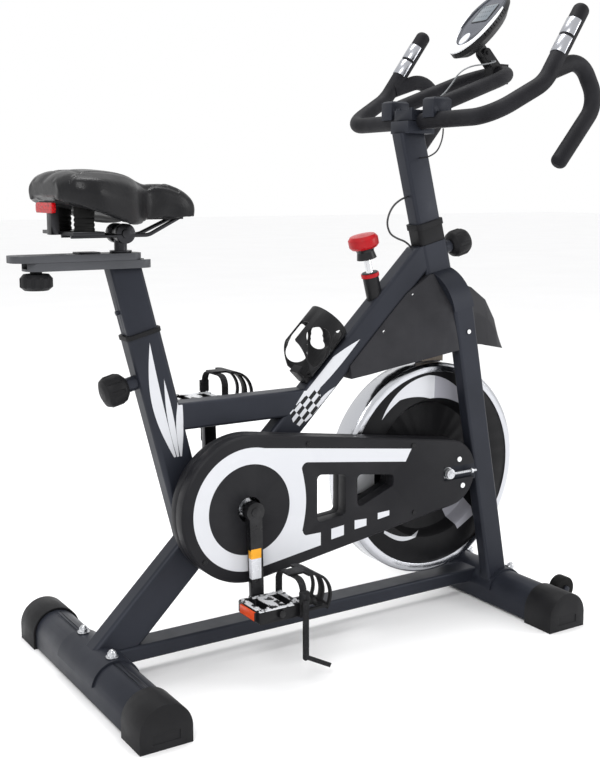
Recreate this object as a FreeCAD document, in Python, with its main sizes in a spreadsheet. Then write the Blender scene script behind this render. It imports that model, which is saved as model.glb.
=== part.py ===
import FreeCAD, Part
import Sketcher
import math
import os

# Upright indoor cycling bike, millimetres. +X forward, +Y to the rider's left, +Z up.
# The floor is Z = 0 and the centre plane is Y = 0. Places along X are given from the
# crank axle, and crank_x puts the crank axle in the bike's own frame.

SIZES = {
    # Wheel, crank and drive
    "crank_x": -161.0,
    "crank_z": 300.0,
    "wheel_x": 465.0,
    "wheel_z": 303.0,
    "wheel_radius": 220.0,
    "wheel_half": 30.0,
    "wheel_face_radius": 202.0,
    "wheel_disc_radius": 147.0,
    "wheel_web_half": 5.0,
    "wheel_hub_radius": 30.0,
    "axle_radius": 6.0,
    "running_gap": 0.05,
    "pulley_radius": 100.0,
    "pulley_small_radius": 34.0,
    "pulley_inner": 50.0,
    "pulley_width": 16.0,
    "belt_thick": 4.0,
    "crank_length": 165.0,
    "crank_angle": 1.5,
    "crank_thick": 14.0,
    "crank_right_y": 92.0,
    "crank_left_y": 60.0,
    "crank_boss_radius": 18.0,
    "crank_eye_radius": 14.0,
    "bottom_shell_radius": 27.0,
    "bottom_shell_half": 34.0,
    "bottom_axle_radius": 10.0,
    # Frame tubes
    "post_lean": 14.2,
    "frame_lean": 44.65,
    "tube_wall": 3.0,
    "beam_width": 52.0,
    "beam_low": 35.0,
    "beam_high": 64.0,
    "strut_height": 70.0,
    "strut_width": 42.0,
    "rear_tube_low": 446.0,
    "rear_tube_high": 496.0,
    "rear_tube_width": 40.0,
    "main_tube_height": 54.0,
    "main_tube_width": 40.0,
    "seat_tube_x": -170.0,
    "seat_tube_z": 622.0,
    "seat_tube_length": 405.0,
    "seat_tube_deep": 64.0,
    "seat_tube_wide": 42.0,
    "head_tube_x": 468.4,
    "head_tube_z": 768.0,
    "head_tube_length": 172.0,
    "head_tube_deep": 66.0,
    "head_tube_wide": 44.0,
    "post_deep": 58.0,
    "post_wide": 36.0,
    "post_round": 7.0,
    "post_gap": 0.15,
    "leg_lean": 10.52,
    "leg_x": 607.0,
    "leg_z": 64.0,
    "leg_deep": 50.0,
    "leg_wide": 30.0,
    "leg_outer": 80.0,
    "leg_bend": 582.0,
    # Floor bars
    "rear_bar_x": -265.5,
    "rear_bar_half": 282.5,
    "front_bar_x": 622.5,
    "front_bar_half": 270.0,
    "bar_width": 84.0,
    "bar_low": 4.5,
    "bar_side": 30.0,
    "bar_rise": 40.0,
    "cap_skin": 4.5,
    "cap_length": 74.0,
    "saddle_plate": 4.0,
    "roller_radius": 25.0,
    "roller_width": 25.0,
    "roller_x": 697.0,
    "roller_z": 46.0,
    "roller_y": 165.0,
    # Guard
    "guard_outer": 85.0,
    "guard_split": 60.0,
    "guard_inner": 40.0,
    "guard_rear_radius": 136.5,
    "guard_front_radius": 69.0,
    "shell_skin": 2.5,
    # Brake
    "brake_x": 335.0,
    "brake_z": 664.0,
    "brake_rod_radius": 7.0,
    "brake_sleeve_radius": 16.0,
    "brake_sleeve_length": 50.0,
    "brake_knob_radius": 30.0,
    # Seat
    "slide_low": 741.0,
    "slide_split": 755.0,
    "slide_high": 767.0,
    "slide_width": 55.0,
    "saddle_x": -203.0,
    "saddle_pivot_z": 800.0,
    # Handlebar
    "bar_x": 428.0,
    "bar_z": 1007.0,
    "bar_radius": 16.0,
    "loop_radius": 15.0,
    "post_top_z": 983.0,
    # Console
    "console_x": 589.0,
    "console_z": 1209.0,
    "console_lean": 46.0,
    "console_half_wide": 50.0,
    "console_half_long": 90.0,
    "console_depth": 28.0,
    # Pedals
    "pedal_long": 90.0,
    "pedal_wide": 75.0,
    "pedal_thick": 24.0,
    "spindle_radius": 6.0,
}

doc = FreeCAD.newDocument("ExerciseBike")
sheet = doc.addObject("Spreadsheet::Sheet", "Bike")


class Size(float):
    """A number that remembers the sheet formula it came from."""

    def __new__(cls, value, text=None):
        made = super().__new__(cls, value)
        made.text = text or f"{float(value):.6f}"
        return made

    def join(self, other, sign, value):
        return Size(value, f"({self.text} {sign} {Size.of(other).text})")

    @staticmethod
    def of(value):
        return value if isinstance(value, Size) else Size(value)

    def __add__(self, other):
        return self.join(other, "+", float(self) + float(other))

    def __sub__(self, other):
        return self.join(other, "-", float(self) - float(other))

    def __mul__(self, other):
        return self.join(other, "*", float(self) * float(other))

    def __truediv__(self, other):
        return self.join(other, "/", float(self) / float(other))

    def __radd__(self, other):
        return Size.of(other) + self

    def __rsub__(self, other):
        return Size.of(other) - self

    def __rmul__(self, other):
        return Size.of(other) * self

    def __neg__(self):
        return self * -1.0


class Sizes:
    """The driving dimensions, read back from the sheet by name."""

    def __getattr__(self, alias):
        return Size(float(sheet.get(alias)), f"Bike.{alias}")


S = Sizes()
V = FreeCAD.Vector
X_AXIS = V(1, 0, 0)
Y_AXIS = V(0, 1, 0)
Z_AXIS = V(0, 0, 1)
NODES = {}


def fill_sheet():
    """Write every driving dimension as a named cell."""
    for row, (alias, value) in enumerate(SIZES.items(), start=1):
        sheet.set(f"A{row}", alias)
        sheet.set(f"B{row}", f"{value}")
        sheet.setAlias(f"B{row}", alias)
    doc.recompute()


def at(x, y, z):
    """A point of the bike from its distance forward of the crank axle."""
    return V(float(S.crank_x) + float(x), float(y), float(z))


def turn(axis, angle):
    """A rotation by degrees about an axis."""
    return FreeCAD.Rotation(axis, float(angle))


def frame_at(x, y, z, lean=0.0):
    """A local frame whose Z axis leans back by so many degrees."""
    return FreeCAD.Placement(at(x, y, z), turn(Y_AXIS, -float(lean)))


def local(place, x, y, z):
    """A point given in a local frame."""
    return place.multVec(V(float(x), float(y), float(z)))


def bind(thing, **sizes):
    """Tie properties to the sheet, or set them where the value is a plain number."""
    for prop, value in sizes.items():
        value = Size.of(value)
        if "Bike." in value.text:
            thing.setExpression(prop, value.text)
        else:
            setattr(thing, prop, float(value))


def keep(label, thing):
    """Name a finished sub-part and list it for export."""
    thing.Label = label
    NODES[label] = thing
    return thing


def box(long, wide, high, centre, rotation=None):
    """A box by its centre."""
    made = doc.addObject("Part::Box", "Box")
    bind(made, Length=long, Width=wide, Height=high)
    spin = rotation or FreeCAD.Rotation()
    corner = V(-float(long) / 2, -float(wide) / 2, -float(high) / 2)
    made.Placement = FreeCAD.Placement(centre + spin.multVec(corner), spin)
    return made


def slab(place, x, y, z):
    """A box between local limits, each given as a pair."""
    long, wide, high = (Size.of(b) - a for a, b in (x, y, z))
    middle = [(float(a) + float(b)) / 2 for a, b in (x, y, z)]
    return box(long, wide, high, local(place, *middle), place.Rotation)


def rod(radius, length, start, direction):
    """A cylinder from a start point along a direction."""
    made = doc.addObject("Part::Cylinder", "Cylinder")
    bind(made, Radius=radius, Height=length)
    made.Placement = FreeCAD.Placement(start, FreeCAD.Rotation(Z_AXIS, direction))
    return made


def rod_y(radius, x, z, y0, y1):
    """A cylinder across the bike between two Y values."""
    length = Size.of(y1) - y0
    return rod(radius, length, at(x, y0, z), Y_AXIS)


def ball(radius, centre):
    """A sphere."""
    made = doc.addObject("Part::Sphere", "Sphere")
    bind(made, Radius=radius)
    made.Placement.Base = centre
    return made


def fuse(*parts):
    """One solid from several that meet."""
    made = doc.addObject("Part::MultiFuse", "Fuse")
    made.Shapes = list(parts)
    made.Refine = True
    return made


def cut(base, *tools):
    """A solid with others taken away."""
    made = doc.addObject("Part::Cut", "Cut")
    made.Base = base
    made.Tool = tools[0] if len(tools) == 1 else fuse_loose(*tools)
    made.Refine = True
    return made


def fuse_loose(*parts):
    """Several solids kept together, touching or not."""
    made = doc.addObject("Part::MultiFuse", "Tools")
    made.Shapes = list(parts)
    return made


def group(*parts):
    """Several separate solids of one sub-part."""
    made = doc.addObject("Part::Compound", "Set")
    made.Links = list(parts)
    return made


def mirror(part):
    """The same part on the other side of the centre plane."""
    made = doc.addObject("Part::Mirroring", "Mirror")
    made.Source = part
    made.Normal = Y_AXIS
    made.Base = V(0, 0, 0)
    return made


def rounded(base, radius, choose):
    """Round the edges that choose picks."""
    doc.recompute()
    edges = [
        (number, float(radius), float(radius))
        for number, edge in enumerate(base.Shape.Edges, start=1)
        if choose(edge)
    ]
    made = doc.addObject("Part::Fillet", "Round")
    made.Base = base
    made.Edges = edges
    return made


def along(direction):
    """Picks straight edges that run along a direction."""
    unit = V(direction)
    unit.normalize()

    def test(edge):
        if edge.Curve.TypeId != "Part::GeomLine":
            return False
        run = edge.Vertexes[-1].Point - edge.Vertexes[0].Point
        return run.Length > 1e-6 and abs(run.dot(unit)) > 0.999 * run.Length

    return test


def at_y(value):
    """Picks edges that lie wholly at one Y."""
    return lambda edge: all(abs(v.Point.y - value) < 1e-4 for v in edge.Vertexes)


def beam(place, deep, wide, low, high, radius=0.0):
    """A bar of rectangular section along the local Z axis."""
    half_deep = Size.of(deep) / 2
    half_wide = Size.of(wide) / 2
    made = slab(place, (-half_deep, half_deep), (-half_wide, half_wide), (low, high))
    if radius:
        made = rounded(made, radius, along(place.Rotation.multVec(Z_AXIS)))
    return made


def shape_part(name, shape):
    """A sub-part whose shape comes from Part functions."""
    made = doc.addObject("Part::Feature", name)
    made.Shape = shape
    made.Placement = FreeCAD.Placement()
    return made


def body(name):
    """An empty PartDesign body."""
    made = doc.addObject("PartDesign::Body", name)
    made.Label = name
    return made


def sketch(owner, name, role):
    """A sketch on one of the body's own origin planes."""
    made = owner.newObject("Sketcher::SketchObject", name)
    plane = next(f for f in owner.Origin.OriginFeatures if f.Role == role)
    made.AttachmentSupport = (plane, [""])
    made.MapMode = "FlatFace"
    return made


def pin_point(drawing, line, end, x, y):
    """Fix one end of a sketch line by two dimensions from the origin."""
    for kind, value, axis in (("DistanceX", x, -2), ("DistanceY", y, -1)):
        value = Size.of(value)
        if abs(value) < 1e-9:
            drawing.addConstraint(Sketcher.Constraint("PointOnObject", line, end, axis))
            continue
        number = drawing.addConstraint(
            Sketcher.Constraint(kind, -1, 1, line, end, float(value))
        )
        if "Bike." in value.text:
            drawing.setExpression(f"Constraints[{number}]", value.text)


def draw_outline(drawing, points):
    """A closed outline of straight lines, every corner dimensioned."""
    corners = [V(float(x), float(y), 0) for x, y in points]
    count = len(corners)
    for i, corner in enumerate(corners):
        drawing.addGeometry(Part.LineSegment(corner, corners[(i + 1) % count]), False)
    for i in range(count):
        joined = Sketcher.Constraint("Coincident", i, 2, (i + 1) % count, 1)
        drawing.addConstraint(joined)
    for i, (x, y) in enumerate(points):
        pin_point(drawing, i, 1, x, y)


def turned(name, points, place):
    """A body turned about its own Z axis from an outline of radius and height."""
    owner = body(name)
    drawing = sketch(owner, f"{name}_profile", "XZ_Plane")
    draw_outline(drawing, points)
    spun = owner.newObject("PartDesign::Revolution", f"{name}_turn")
    spun.Profile = drawing
    spun.ReferenceAxis = (drawing, ["V_Axis"])
    spun.Angle = 360.0
    owner.Placement = place
    return owner


def padded(name, points, thick, place, role="XZ_Plane"):
    """A body pushed out evenly on both sides of its outline's plane."""
    owner = body(name)
    drawing = sketch(owner, f"{name}_outline", role)
    draw_outline(drawing, points)
    pad = owner.newObject("PartDesign::Pad", f"{name}_pad")
    pad.Profile = drawing
    bind(pad, Length=thick)
    pad.Midplane = True
    owner.Placement = place
    return owner


def y_frame(x, y, z):
    """A frame whose local Z axis runs along +Y."""
    return FreeCAD.Placement(at(x, y, z), FreeCAD.Rotation(Z_AXIS, Y_AXIS))


def path_wire(points, radii):
    """Straight runs joined by tangent arcs, one radius per inner corner."""
    edges = []
    start = points[0]
    for before, corner, after, radius in zip(points, points[1:], points[2:], radii):
        back = (before - corner).normalize()
        ahead = (after - corner).normalize()
        half = back.getAngle(ahead) / 2
        reach = radius / math.tan(half)
        first = corner + back * reach
        last = corner + ahead * reach
        middle = (back + ahead).normalize()
        mid = corner + middle * (radius / math.sin(half) - radius)
        edges.append(Part.makeLine(start, first))
        edges.append(Part.Arc(first, mid, last).toShape())
        start = last
    edges.append(Part.makeLine(start, points[-1]))
    return Part.Wire(edges)


def tube_shape(points, radii, radius):
    """A round bar along a path of runs and arcs."""
    wire = path_wire(points, radii)
    heading = (points[1] - points[0]).normalize()
    ring = Part.Wire([Part.makeCircle(radius, points[0], heading)])
    return wire.makePipeShell([ring], True, False)


def cord_radii(points):
    """The bend radius at each inner point of a cord's route."""
    radii = []
    for before, corner, after in zip(points, points[1:], points[2:]):
        first = corner - before
        second = after - corner
        half_turn = first.getAngle(second) / 2
        radii.append(0.45 * min(first.Length, second.Length) / math.tan(half_turn))
    return radii


# ---------------------------------------------------------------- floor bars


def arch_outline(drawing, half, low, side, rise):
    """A flat-bottomed outline with upright sides and an arched top."""
    corners = [V(-half, low, 0), V(half, low, 0), V(half, side, 0), V(-half, side, 0)]
    radius = (Size.of(rise) * rise + Size.of(half) * half) / (Size.of(rise) * 2)
    drawing.addGeometry(Part.LineSegment(corners[0], corners[1]), False)
    drawing.addGeometry(Part.LineSegment(corners[1], corners[2]), False)
    top = V(0, float(side) + float(rise), 0)
    drawing.addGeometry(Part.Arc(corners[2], top, corners[3]), False)
    drawing.addGeometry(Part.LineSegment(corners[3], corners[0]), False)
    pin_point(drawing, 0, 1, -half, low)
    pin_point(drawing, 1, 1, half, low)
    pin_point(drawing, 1, 2, half, side)
    pin_point(drawing, 3, 1, -half, side)
    drawing.addConstraint(Sketcher.Constraint("Coincident", 0, 2, 1, 1))
    drawing.addConstraint(Sketcher.Constraint("Coincident", 3, 2, 0, 1))
    drawing.addConstraint(Sketcher.Constraint("Coincident", 2, 1, 1, 2))
    drawing.addConstraint(Sketcher.Constraint("Coincident", 2, 2, 3, 1))
    number = drawing.addConstraint(Sketcher.Constraint("Radius", 2, float(radius)))
    drawing.setExpression(f"Constraints[{number}]", radius.text)


def arch_bar(name, x, y, length, skin):
    """A solid bar across the bike with an arched section, grown by a skin."""
    owner = body(name)
    drawing = sketch(owner, f"{name}_section", "XZ_Plane")
    half = S.bar_width / 2 + skin
    arch_outline(drawing, half, S.bar_low - skin, S.bar_side, S.bar_rise + skin)
    pad = owner.newObject("PartDesign::Pad", f"{name}_pad")
    pad.Profile = drawing
    bind(pad, Length=length)
    pad.Midplane = True
    owner.Placement = FreeCAD.Placement(at(x, y, 0), FreeCAD.Rotation())
    return owner


def floor_bar(name, x, half_length):
    """One hollow floor bar, stopping short of its end caps' outer walls."""
    reach = (Size.of(half_length) - 6) * 2
    outer = arch_bar(f"{name}_outer", x, 0, reach, 0)
    inner = arch_bar(f"{name}_inner", x, 0, reach + 2, -S.tube_wall)
    return outer, cut(outer, inner)


def end_cap(x, half_length, side):
    """One plastic foot: closed outside, sleeved over the end of a floor bar."""
    y = float(half_length) - float(S.cap_length) / 2
    skin = arch_bar("cap_skin", x, side * y, S.cap_length, S.cap_skin)
    core = arch_bar("cap_core", x, side * (y - 6), S.cap_length, 0)
    label = slab(
        frame_at(x, side * float(half_length), 12),
        (-24, 24),
        (-1.5, 1.5),
        (0, 16),
    )
    return cut(skin, core, label)


def bolt_places():
    """Where the floor bars are bolted: x, y, height and tilt of each nut."""
    tilt = 40.0
    reach = float(S.bar_width) / 2 + float(S.saddle_plate)
    front_x = float(S.front_bar_x) + reach * math.sin(math.radians(tilt))
    front_z = 28.0 + reach * math.cos(math.radians(tilt))
    for y in (-66, 66):
        yield frame_at(S.rear_bar_x, y, 74, 0)
        yield frame_at(front_x, y, front_z, -tilt)


def bar_bolts():
    """Dome nuts, washers and studs that hold the frame to the floor bars."""
    sets = []
    for place in bolt_places():
        stud = rod(4, 18, local(place, 0, 0, -12), place.Rotation.multVec(Z_AXIS))
        washer = rod(11, 2, local(place, 0, 0, 0.4), place.Rotation.multVec(Z_AXIS))
        nut = rod(8, 6, local(place, 0, 0, 2.4), place.Rotation.multVec(Z_AXIS))
        dome = ball(7, local(place, 0, 0, 7.5))
        sets.append(fuse(stud, washer, nut, dome))
    return sets


def rollers():
    """Transport wheels, their lugs and axle bolts, ahead of the front bar."""
    front_face = S.front_bar_x + S.bar_width / 2
    lugs = []
    for side, name in ((-1, "roller_right"), (1, "roller_left")):
        y0 = float(S.roller_y)
        y1 = y0 + float(S.roller_width)
        wheel = turned(
            name,
            [
                (4 + S.running_gap, -S.roller_width / 2),
                (S.roller_radius - 2, -S.roller_width / 2),
                (S.roller_radius, -S.roller_width / 2 + 2),
                (S.roller_radius, S.roller_width / 2 - 2),
                (S.roller_radius - 2, S.roller_width / 2),
                (4 + S.running_gap, S.roller_width / 2),
            ],
            y_frame(S.roller_x, side * (y0 + y1) / 2, S.roller_z),
        )
        keep(name, wheel)
        ends = sorted((side * (y0 - 0.5), side * (y1 + 5)))
        pin = rod_y(4, S.roller_x, S.roller_z, *ends)
        ends = sorted((side * (y1 + 0.5), side * (y1 + 5)))
        head = rod_y(7, S.roller_x, S.roller_z, *ends)
        ends = sorted((side * (y0 - 5.5), side * (y0 - 0.5)))
        eye = rod_y(13, S.roller_x, S.roller_z, *ends)
        middle = side * (y0 - 3)
        arm_long = S.roller_x - front_face
        arm_x = (float(S.roller_x) + float(front_face)) / 2
        arm = box(arm_long, 5, 18, at(arm_x, middle, 33))
        foot = box(4, 30, 18, at(float(front_face) + 2, middle, 21))
        web = box(12, 5, 22, at(float(front_face) + 6, middle, 29))
        lugs.append(fuse(arm, foot, web, eye, pin, head))
    keep("roller_lugs", group(*lugs))


# --------------------------------------------------------------------- frame


def seat_frame():
    """The lean of the seat post, with its origin at the top of the seat tube."""
    return frame_at(S.seat_tube_x, 0, S.seat_tube_z, S.post_lean)


def head_frame():
    """The lean of the handlebar post, with its origin at the top of the head tube."""
    return frame_at(S.head_tube_x, 0, S.head_tube_z, S.post_lean)


def main_frame_line():
    """The rising main tube: local Z runs up along it from the crank axle."""
    return frame_at(0, 0, S.crank_z, S.frame_lean - 90)


def brake_frame():
    """The lean of the brake rod, with its origin on top of the main tube."""
    return frame_at(S.brake_x, 0, S.brake_z, S.post_lean)


def post_bore(place, low, high):
    """The space that a post's sleeve fills inside its frame tube."""
    deep = S.post_deep + 3
    wide = S.post_wide + 3
    return beam(place, deep, wide, low, high, 8)


def leg_frame():
    """The lean of the fork legs, with its origin above the front floor bar."""
    return frame_at(S.leg_x, 0, S.leg_z, S.leg_lean)


def fork_half(side):
    """One leg beside the wheel, its bend in to the head tube and its axle plate."""
    place = leg_frame()
    y = side * (S.leg_outer - S.leg_wide / 2)
    low = FreeCAD.Placement(local(place, 0, y, 0), place.Rotation)
    leg = beam(low, S.leg_deep, S.leg_wide, -32, S.leg_bend, 6)
    ahead = place.Rotation.multVec(X_AXIS)
    start = local(place, -S.leg_deep / 2, 0, S.leg_bend)
    ring = cut(
        rod(S.leg_outer, S.leg_deep, start, ahead),
        rod(S.leg_outer - S.leg_wide, S.leg_deep, start, ahead),
    )
    under = slab(place, (-60, 60), (-120, 120), (S.leg_bend - 120, S.leg_bend))
    across = sorted((0, side * -120))
    other = slab(place, (-60, 60), across, (S.leg_bend - 120, S.leg_bend + 120))
    plate_y = side * (74.0 if side < 0 else 60.0)
    plate = box(100, 8, 42, at(490, plate_y, S.wheel_z))
    nose = rod_y(21, 440, S.wheel_z, plate_y - 4, plate_y + 4)
    return fuse(leg, cut(ring, under, other), plate, nose)


def fork():
    """Both halves of the fork astride the wheel."""
    return [fork_half(side) for side in (-1, 1)]


def bar_saddle(x, half_length):
    """A curved plate that straps the frame to the top of a floor bar."""
    return arch_bar("saddle_plate", x, 0, half_length * 2, S.saddle_plate)


def floor_beam():
    """The low beam that joins both floor bars."""
    x0 = S.rear_bar_x + 20
    x1 = S.front_bar_x - 20
    origin = frame_at(0, 0, 0)
    half = S.beam_width / 2
    return rounded(
        slab(origin, (x0, x1), (-half, half), (S.beam_low, S.beam_high)),
        5,
        along(X_AXIS),
    )


def strut():
    """The stout tube from the rear floor bar up to the crank, with its bearing shell."""
    tube = beam(main_frame_line(), S.strut_height, S.strut_width, -372, -5, 8)
    reach = S.bottom_shell_half
    return fuse(tube, rod_y(S.bottom_shell_radius, 0, S.crank_z, -reach, reach))


def seat_tube():
    """The leaning tube that holds the seat post."""
    length = -S.seat_tube_length
    return beam(seat_frame(), S.seat_tube_deep, S.seat_tube_wide, length, 0, 9)


def head_tube():
    """The leaning tube that holds the handlebar post."""
    length = -S.head_tube_length
    return beam(head_frame(), S.head_tube_deep, S.head_tube_wide, length, 0, 9)


def main_tube():
    """The rising tube from the crank to the head tube."""
    return beam(main_frame_line(), S.main_tube_height, S.main_tube_width, 2, 648, 8)


def rear_tube():
    """The level tube between the seat tube and the main tube."""
    half = S.rear_tube_width / 2
    tube = slab(frame_at(0, 0, 0), (-115, 165), (-half, half), (S.rear_tube_low, S.rear_tube_high))
    return rounded(tube, 6, along(X_AXIS))


def frame_hollows():
    """The air inside the frame's closed tubes."""
    line = main_frame_line()
    wall = float(S.tube_wall)
    base = box(
        780,
        S.beam_width - wall * 2,
        S.beam_high - S.beam_low - wall * 2,
        at(178, 0, (float(S.beam_high) + float(S.beam_low)) / 2),
    )
    strut = beam(
        line, S.strut_height - wall * 2, S.strut_width - wall * 2, -330, -150, 5
    )
    main_low = beam(
        line, S.main_tube_height - wall * 2, S.main_tube_width - wall * 2, 60, 590, 5
    )
    rear = box(160, S.rear_tube_width - wall * 2, 44, at(0, 0, 471))
    legs = []
    place = leg_frame()
    for side in (-1, 1):
        low = local(place, 0, side * (S.leg_outer - S.leg_wide / 2), 0)
        legs.append(
            beam(FreeCAD.Placement(low, place.Rotation), 44, 24, 40, 560, 4)
        )
    return [base, strut, main_low, rear] + legs


def brake_hangers():
    """Two cheeks under the main tube that carry the brake arm's pivot."""
    return [box(26, 4, 54, at(308, side * 14, 562)) for side in (-1, 1)]


def brake_pivot(y0, y1, radius):
    """The pin line that the brake arm turns on."""
    return rod_y(radius, 308, 545, y0, y1)


def pin_frames():
    """Local frames of the two spring pins: Z points out of the tube."""
    seat = local(seat_frame(), -S.seat_tube_deep / 2, 0, -78)
    head = local(head_frame(), S.head_tube_deep / 2, 0, -22)
    back = seat_frame().Rotation.multVec(-X_AXIS)
    ahead = head_frame().Rotation.multVec(X_AXIS)
    return (
        FreeCAD.Placement(seat, FreeCAD.Rotation(Z_AXIS, back)),
        FreeCAD.Placement(head, FreeCAD.Rotation(Z_AXIS, ahead)),
    )


def pin_barrels():
    """Threaded barrels welded on the tubes round the spring pins."""
    barrels = []
    for place in pin_frames():
        out = place.Rotation.multVec(Z_AXIS)
        barrels.append(rod(13, 20, local(place, 0, 0, -2), out))
    return barrels


def pin_holes():
    """The way through each barrel and tube wall for its pin."""
    holes = []
    for place in pin_frames():
        out = place.Rotation.multVec(Z_AXIS)
        holes.append(rod(6, 40, local(place, 0, 0, -8), out))
    return holes


def cover_over(place):
    """Everything above the mouth of a leaning tube."""
    return slab(place, (-60, 60), (-60, 60), (0, 80))


def frame_part(rear_outer, front_outer, studs):
    """The welded frame: each tube hollow, bored and trimmed to the ones it meets."""
    seat_barrel, head_barrel = pin_barrels()
    saddles = [bar_saddle(S.rear_bar_x, 82), bar_saddle(S.front_bar_x, 88)]
    members = [
        strut(),
        fuse(seat_tube(), seat_barrel),
        fuse(head_tube(), head_barrel),
        fuse(main_tube(), *brake_hangers()),
        rear_tube(),
        *fork(),
        fuse(floor_beam(), *saddles),
    ]
    under = slab(frame_at(178, 0, 0), (-600, 600), (-120, 120), (-20, S.beam_low))
    brake = brake_frame()
    rod_hole = rod(
        S.brake_rod_radius + 1,
        160,
        local(brake, 0, 0, -140),
        brake.Rotation.multVec(Z_AXIS),
    )
    tools = frame_hollows() + [
        rear_outer,
        front_outer,
        under,
        rod_hole,
        post_bore(seat_frame(), -300, 1),
        post_bore(head_frame(), -165, 1),
        rod_y(20, 0, S.crank_z, -40, 40),
        rod_y(S.axle_radius, S.wheel_x, S.wheel_z, -100, 100),
        brake_pivot(-20, 20, 4 + S.running_gap),
        cover_over(head_frame()),
        cover_over(seat_frame()),
        *pin_holes(),
        *studs,
    ]
    welded = []
    for number, member in enumerate(members):
        welded.append(cut(member, *members[:number], *tools))
    keep("frame", group(*welded))


def tube_sleeves():
    """Plastic sleeves that line both tubes and guide the posts."""
    sleeves = []
    rims = ((seat_frame(), -60, 8, 0), (head_frame(), -60, 44, 32))
    for place, low, high, rim_low in rims:
        bore = beam(
            place,
            S.post_deep + S.post_gap * 2,
            S.post_wide + S.post_gap * 2,
            low - 1,
            high + 1,
            7,
        )
        liner = post_bore(place, low, 1)
        rim = beam(place, S.seat_tube_deep + 4, S.seat_tube_wide + 4, rim_low, high, 10)
        parts = [liner, rim]
        if rim_low:
            parts.append(beam(place, S.post_deep + 6, S.post_wide + 6, 0, rim_low, 9))
        ways = pin_holes()
        sleeves.append(cut(fuse(*parts), bore, *ways))
    keep("post_sleeves", group(*sleeves))


def spring_pins():
    """Two pull knobs with a pin that locks each post."""
    for name, place in zip(("seat_pin", "handlebar_pin"), pin_frames()):
        tip = 5.9
        knob = turned(
            name,
            [
                (0, 0.4),
                (tip - 1, 0.4),
                (tip, 1.4),
                (tip, 19),
                (17, 19),
                (25, 26),
                (28, 34),
                (28, 52),
                (24, 60),
                (14, 64),
                (0, 65),
            ],
            place,
        )
        flutes = []
        for number in range(8):
            angle = math.radians(number * 45)
            foot = local(place, 31 * math.cos(angle), 31 * math.sin(angle), 30)
            flutes.append(rod(6, 40, foot, place.Rotation.multVec(Z_AXIS)))
        keep(name, cut(knob, *flutes))


# ------------------------------------------------------------ wheel and drive


def wheel_parts():
    """The heavy wheel, its bright rim ring and its small pulley."""
    place = y_frame(S.wheel_x, 0, S.wheel_z)
    bore = S.axle_radius + S.running_gap
    disc = [
        (bore, -S.wheel_hub_radius),
        (S.wheel_hub_radius, -S.wheel_hub_radius),
        (S.wheel_hub_radius + 8, -S.wheel_web_half),
        (S.wheel_disc_radius - 14, -S.wheel_web_half),
        (S.wheel_disc_radius, -S.wheel_half + 2),
        (S.wheel_face_radius, -S.wheel_half + 2),
        (S.wheel_face_radius, 6),
        (S.wheel_disc_radius, 6),
        (S.wheel_disc_radius - 14, S.wheel_web_half),
        (S.wheel_hub_radius + 8, S.wheel_web_half),
        (S.wheel_hub_radius, S.wheel_hub_radius),
        (bore, S.wheel_hub_radius),
    ]
    keep("flywheel", turned("flywheel", disc, place))
    back = S.wheel_radius - 8
    ring = [
        (S.wheel_face_radius, -S.wheel_half),
        (S.wheel_radius - 7, -S.wheel_half),
        (S.wheel_radius, -S.wheel_half + 5),
        (S.wheel_radius, S.wheel_half - 5),
        (S.wheel_radius - 3, S.wheel_half),
        (back, S.wheel_half),
        (back, 6),
        (S.wheel_face_radius, 6),
    ]
    keep("flywheel_rim", turned("flywheel_rim", ring, place))


def pulley(name, x, z, radius, bore, hub_low, hub_high):
    """A flanged belt pulley on the right of the frame."""
    low = -float(S.pulley_inner) - float(S.pulley_width)
    high = -float(S.pulley_inner)
    lip = radius + 2.5
    outline = [
        (bore, hub_low),
        (20, hub_low),
        (20, low + 5),
        (radius - 12, low + 5),
        (radius - 12, low),
        (lip, low),
        (lip, low + 1.5),
        (radius, low + 1.5),
        (radius, high - 1.5),
        (lip, high - 1.5),
        (lip, high),
        (radius - 12, high),
        (radius - 12, high - 5),
        (20, high - 5),
        (20, hub_high),
        (bore, hub_high),
    ]
    return turned(name, outline, y_frame(x, 0, z))


def loop_outline(radius_rear, radius_front, y0, y1):
    """A solid between two round ends joined by tangents, from y0 to y1."""
    rear = at(0, y0, S.crank_z)
    front = at(S.wheel_x, y0, S.wheel_z)
    span = front - rear
    slope = math.atan2(span.z, span.x)
    swing = math.acos((float(radius_rear) - float(radius_front)) / span.Length)

    def touch(centre, radius, angle):
        return centre + V(math.cos(angle), 0, math.sin(angle)) * float(radius)

    upper = slope + swing
    lower = slope - swing
    edges = [
        Part.Arc(
            touch(rear, radius_rear, upper),
            touch(rear, radius_rear, slope + math.pi),
            touch(rear, radius_rear, lower),
        ).toShape(),
        Part.makeLine(
            touch(rear, radius_rear, lower), touch(front, radius_front, lower)
        ),
        Part.Arc(
            touch(front, radius_front, lower),
            touch(front, radius_front, slope),
            touch(front, radius_front, upper),
        ).toShape(),
        Part.makeLine(
            touch(front, radius_front, upper), touch(rear, radius_rear, upper)
        ),
    ]
    face = Part.Face(Part.Wire(edges))
    return face.extrude(V(0, y1 - y0, 0))


def drive_parts():
    """Both pulleys and the belt between them."""
    big = pulley(
        "drive_pulley", 0, S.crank_z, S.pulley_radius, S.bottom_axle_radius, -66, -44
    )
    keep("drive_pulley", big)
    small = pulley(
        "small_pulley",
        S.wheel_x,
        S.wheel_z,
        S.pulley_small_radius,
        S.axle_radius + S.running_gap,
        -66,
        -S.wheel_hub_radius,
    )
    keep("small_pulley", small)
    inside = 0.3
    y1 = -float(S.pulley_inner) - 2
    y0 = y1 - float(S.pulley_width) + 4
    outer = loop_outline(
        S.pulley_radius + inside + S.belt_thick,
        S.pulley_small_radius + inside + S.belt_thick,
        y0,
        y1,
    )
    inner = loop_outline(
        S.pulley_radius + inside, S.pulley_small_radius + inside, y0, y1
    )
    keep("drive_belt", shape_part("drive_belt", outer.cut(inner)))


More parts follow.
